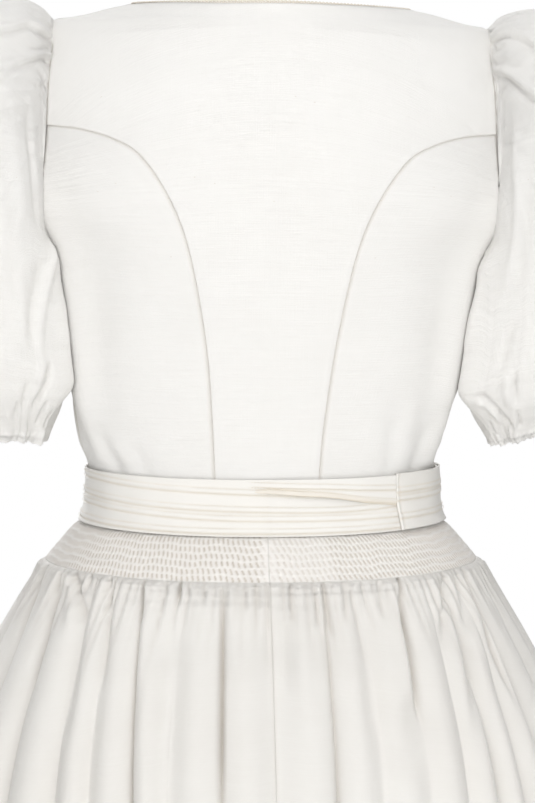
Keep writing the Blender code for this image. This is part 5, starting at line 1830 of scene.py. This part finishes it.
class DRESS_OT_studio(bpy.types.Operator):
    """The floor, the backdrop, the lights and the camera"""

    bl_idname = "dress.studio"
    bl_label = "Studio"

    azimuth, elevation, distance = math.radians(177), math.radians(3), 3.0
    focal_length = 182.0
    metres_per_pixel = 0.00074
    # The photograph's centre, in its own pixels, against the dress's origin
    centre_column, centre_row = 267.5 - 261.0, 401.5 - 27.5
    # Columns name, place, aim, size, power, colour
    lights = (
        ("camera_side", (0.0, 3.2, 0.2), (0.0, 0.0, -0.40), 4.4, 52.0, (1.0, 0.997, 0.992)),
        ("key", (0.0, 2.3, 1.7), (0.0, 0.0, -0.20), 1.6, 4.0, (1.0, 0.99, 0.98)),
        ("low", (0.0, 2.0, -1.2), (0.0, 0.0, -0.40), 2.2, 13.0, (1.0, 0.995, 0.985)),
        ("front", (0.4, -2.8, 1.0), (0.0, 0.0, -0.40), 3.6, 70.0, (1.0, 0.995, 0.985)),
        ("top", (0.0, 1.0, 2.3), (0.0, 0.0, -0.10), 3.4, 30.0, (1.0, 1.0, 1.0)),
    )

    def execute(self, context):
        self.floor()
        self.world(context)
        for name, place, aim, size, power, colour in self.lights:
            light = bpy.data.lights.new(name, "AREA")
            light.shape = "DISK"
            light.size, light.energy, light.color = size, power, colour
            lamp = linked(name, light)
            lamp.location = place
            lamp.rotation_euler = (Vector(aim) - Vector(place)).to_track_quat("-Z", "Y").to_euler()
        self.camera(context)
        context.scene.view_settings.view_transform = "Standard"
        return {"FINISHED"}

    def floor(self):
        whole = bmesh.new()
        bmesh.ops.create_circle(whole, cap_ends=True, segments=96, radius=7.0)
        bmesh.ops.translate(whole, verts=whole.verts, vec=(0, 0, HEM - 0.35))
        mesh = mesh_from(whole, "floor")
        material, tree, shader = new_material("Floor")
        tone = tree.ranged(tree.noise(tree.add("ShaderNodeTexCoord").outputs["Object"], 1.5), 0.3, 0.7)
        colour = tree.mixed(tone, (0.90, 0.90, 0.89, 1), (0.93, 0.93, 0.92, 1))
        tree.fill(shader, {"Base Color": colour, "Roughness": 0.9})
        mesh.materials.append(material)
        linked("floor", mesh)

    def world(self, context):
        """A world that the camera sees as plain white, and that lights the dress less."""
        world = bpy.data.worlds.new("Studio")
        world.use_nodes = True
        context.scene.world = world
        tree, nodes = Tree(world.node_tree), world.node_tree.nodes
        white = (1.0, 1.0, 1.0, 1.0)
        lit = tree.fill(nodes["Background"], {"Color": white, "Strength": 0.47})
        seen = tree.fill(tree.add("ShaderNodeBackground"), {"Color": white, "Strength": 1.0})
        by_camera = tree.add("ShaderNodeLightPath").outputs["Is Camera Ray"]
        mix = tree.add("ShaderNodeMixShader", by_camera, lit.outputs[0], seen.outputs[0])
        tree.set(mix.outputs[0], nodes["World Output"].inputs["Surface"])

    def camera(self, context):
        level = math.cos(self.elevation)
        towards = Vector(
            (math.sin(self.azimuth) * level, -math.cos(self.azimuth) * level, math.sin(self.elevation))
        )
        right = (-towards).cross(Vector((0, 0, 1))).normalized()
        aim = right * (self.centre_column * self.metres_per_pixel)
        aim += Vector((0, 0, -self.centre_row * self.metres_per_pixel / level))
        data = bpy.data.cameras.new("camera")
        data.lens = self.focal_length
        made = linked("camera", data)
        made.location = aim + towards * self.distance
        made.rotation_euler = (-towards).to_track_quat("-Z", "Y").to_euler()
        context.scene.camera = made


class DRESS_PT_panel(bpy.types.Panel):
    bl_label = "Dirndl dress"
    bl_idname = "DRESS_PT_panel"
    bl_space_type = "VIEW_3D"
    bl_region_type = "UI"
    bl_category = "Dress"

    def draw(self, context):
        for group in (context.scene.dress_sizes, context.scene.dress_looks):
            box = self.layout.box()
            for name in group.bl_rna.properties.keys():
                if name not in ("rna_type", "name"):
                    box.prop(group, name)
        for made in MAKERS:
            self.layout.operator(made.bl_idname)


MAKERS = (
    DRESS_OT_studio,
    DRESS_OT_back,
    DRESS_OT_side_panels,
    DRESS_OT_fronts,
    DRESS_OT_neck_braid,
    DRESS_OT_buttons,
    DRESS_OT_sleeves,
    DRESS_OT_sash,
    DRESS_OT_smocking,
    DRESS_OT_skirt,
)
CLASSES = (DRESS_PG_sizes, DRESS_PG_looks, *MAKERS, DRESS_PT_panel)


def register():
    for made in CLASSES:
        bpy.utils.register_class(made)
    bpy.types.Scene.dress_sizes = PointerProperty(type=DRESS_PG_sizes)
    bpy.types.Scene.dress_looks = PointerProperty(type=DRESS_PG_looks)


def unregister():
    del bpy.types.Scene.dress_looks
    del bpy.types.Scene.dress_sizes
    for made in reversed(CLASSES):
        bpy.utils.unregister_class(made)


def main():
    register()
    for maker in MAKERS:
        getattr(bpy.ops.dress, maker.bl_idname.split(".")[1])()


if __name__ == "__main__":
    main()
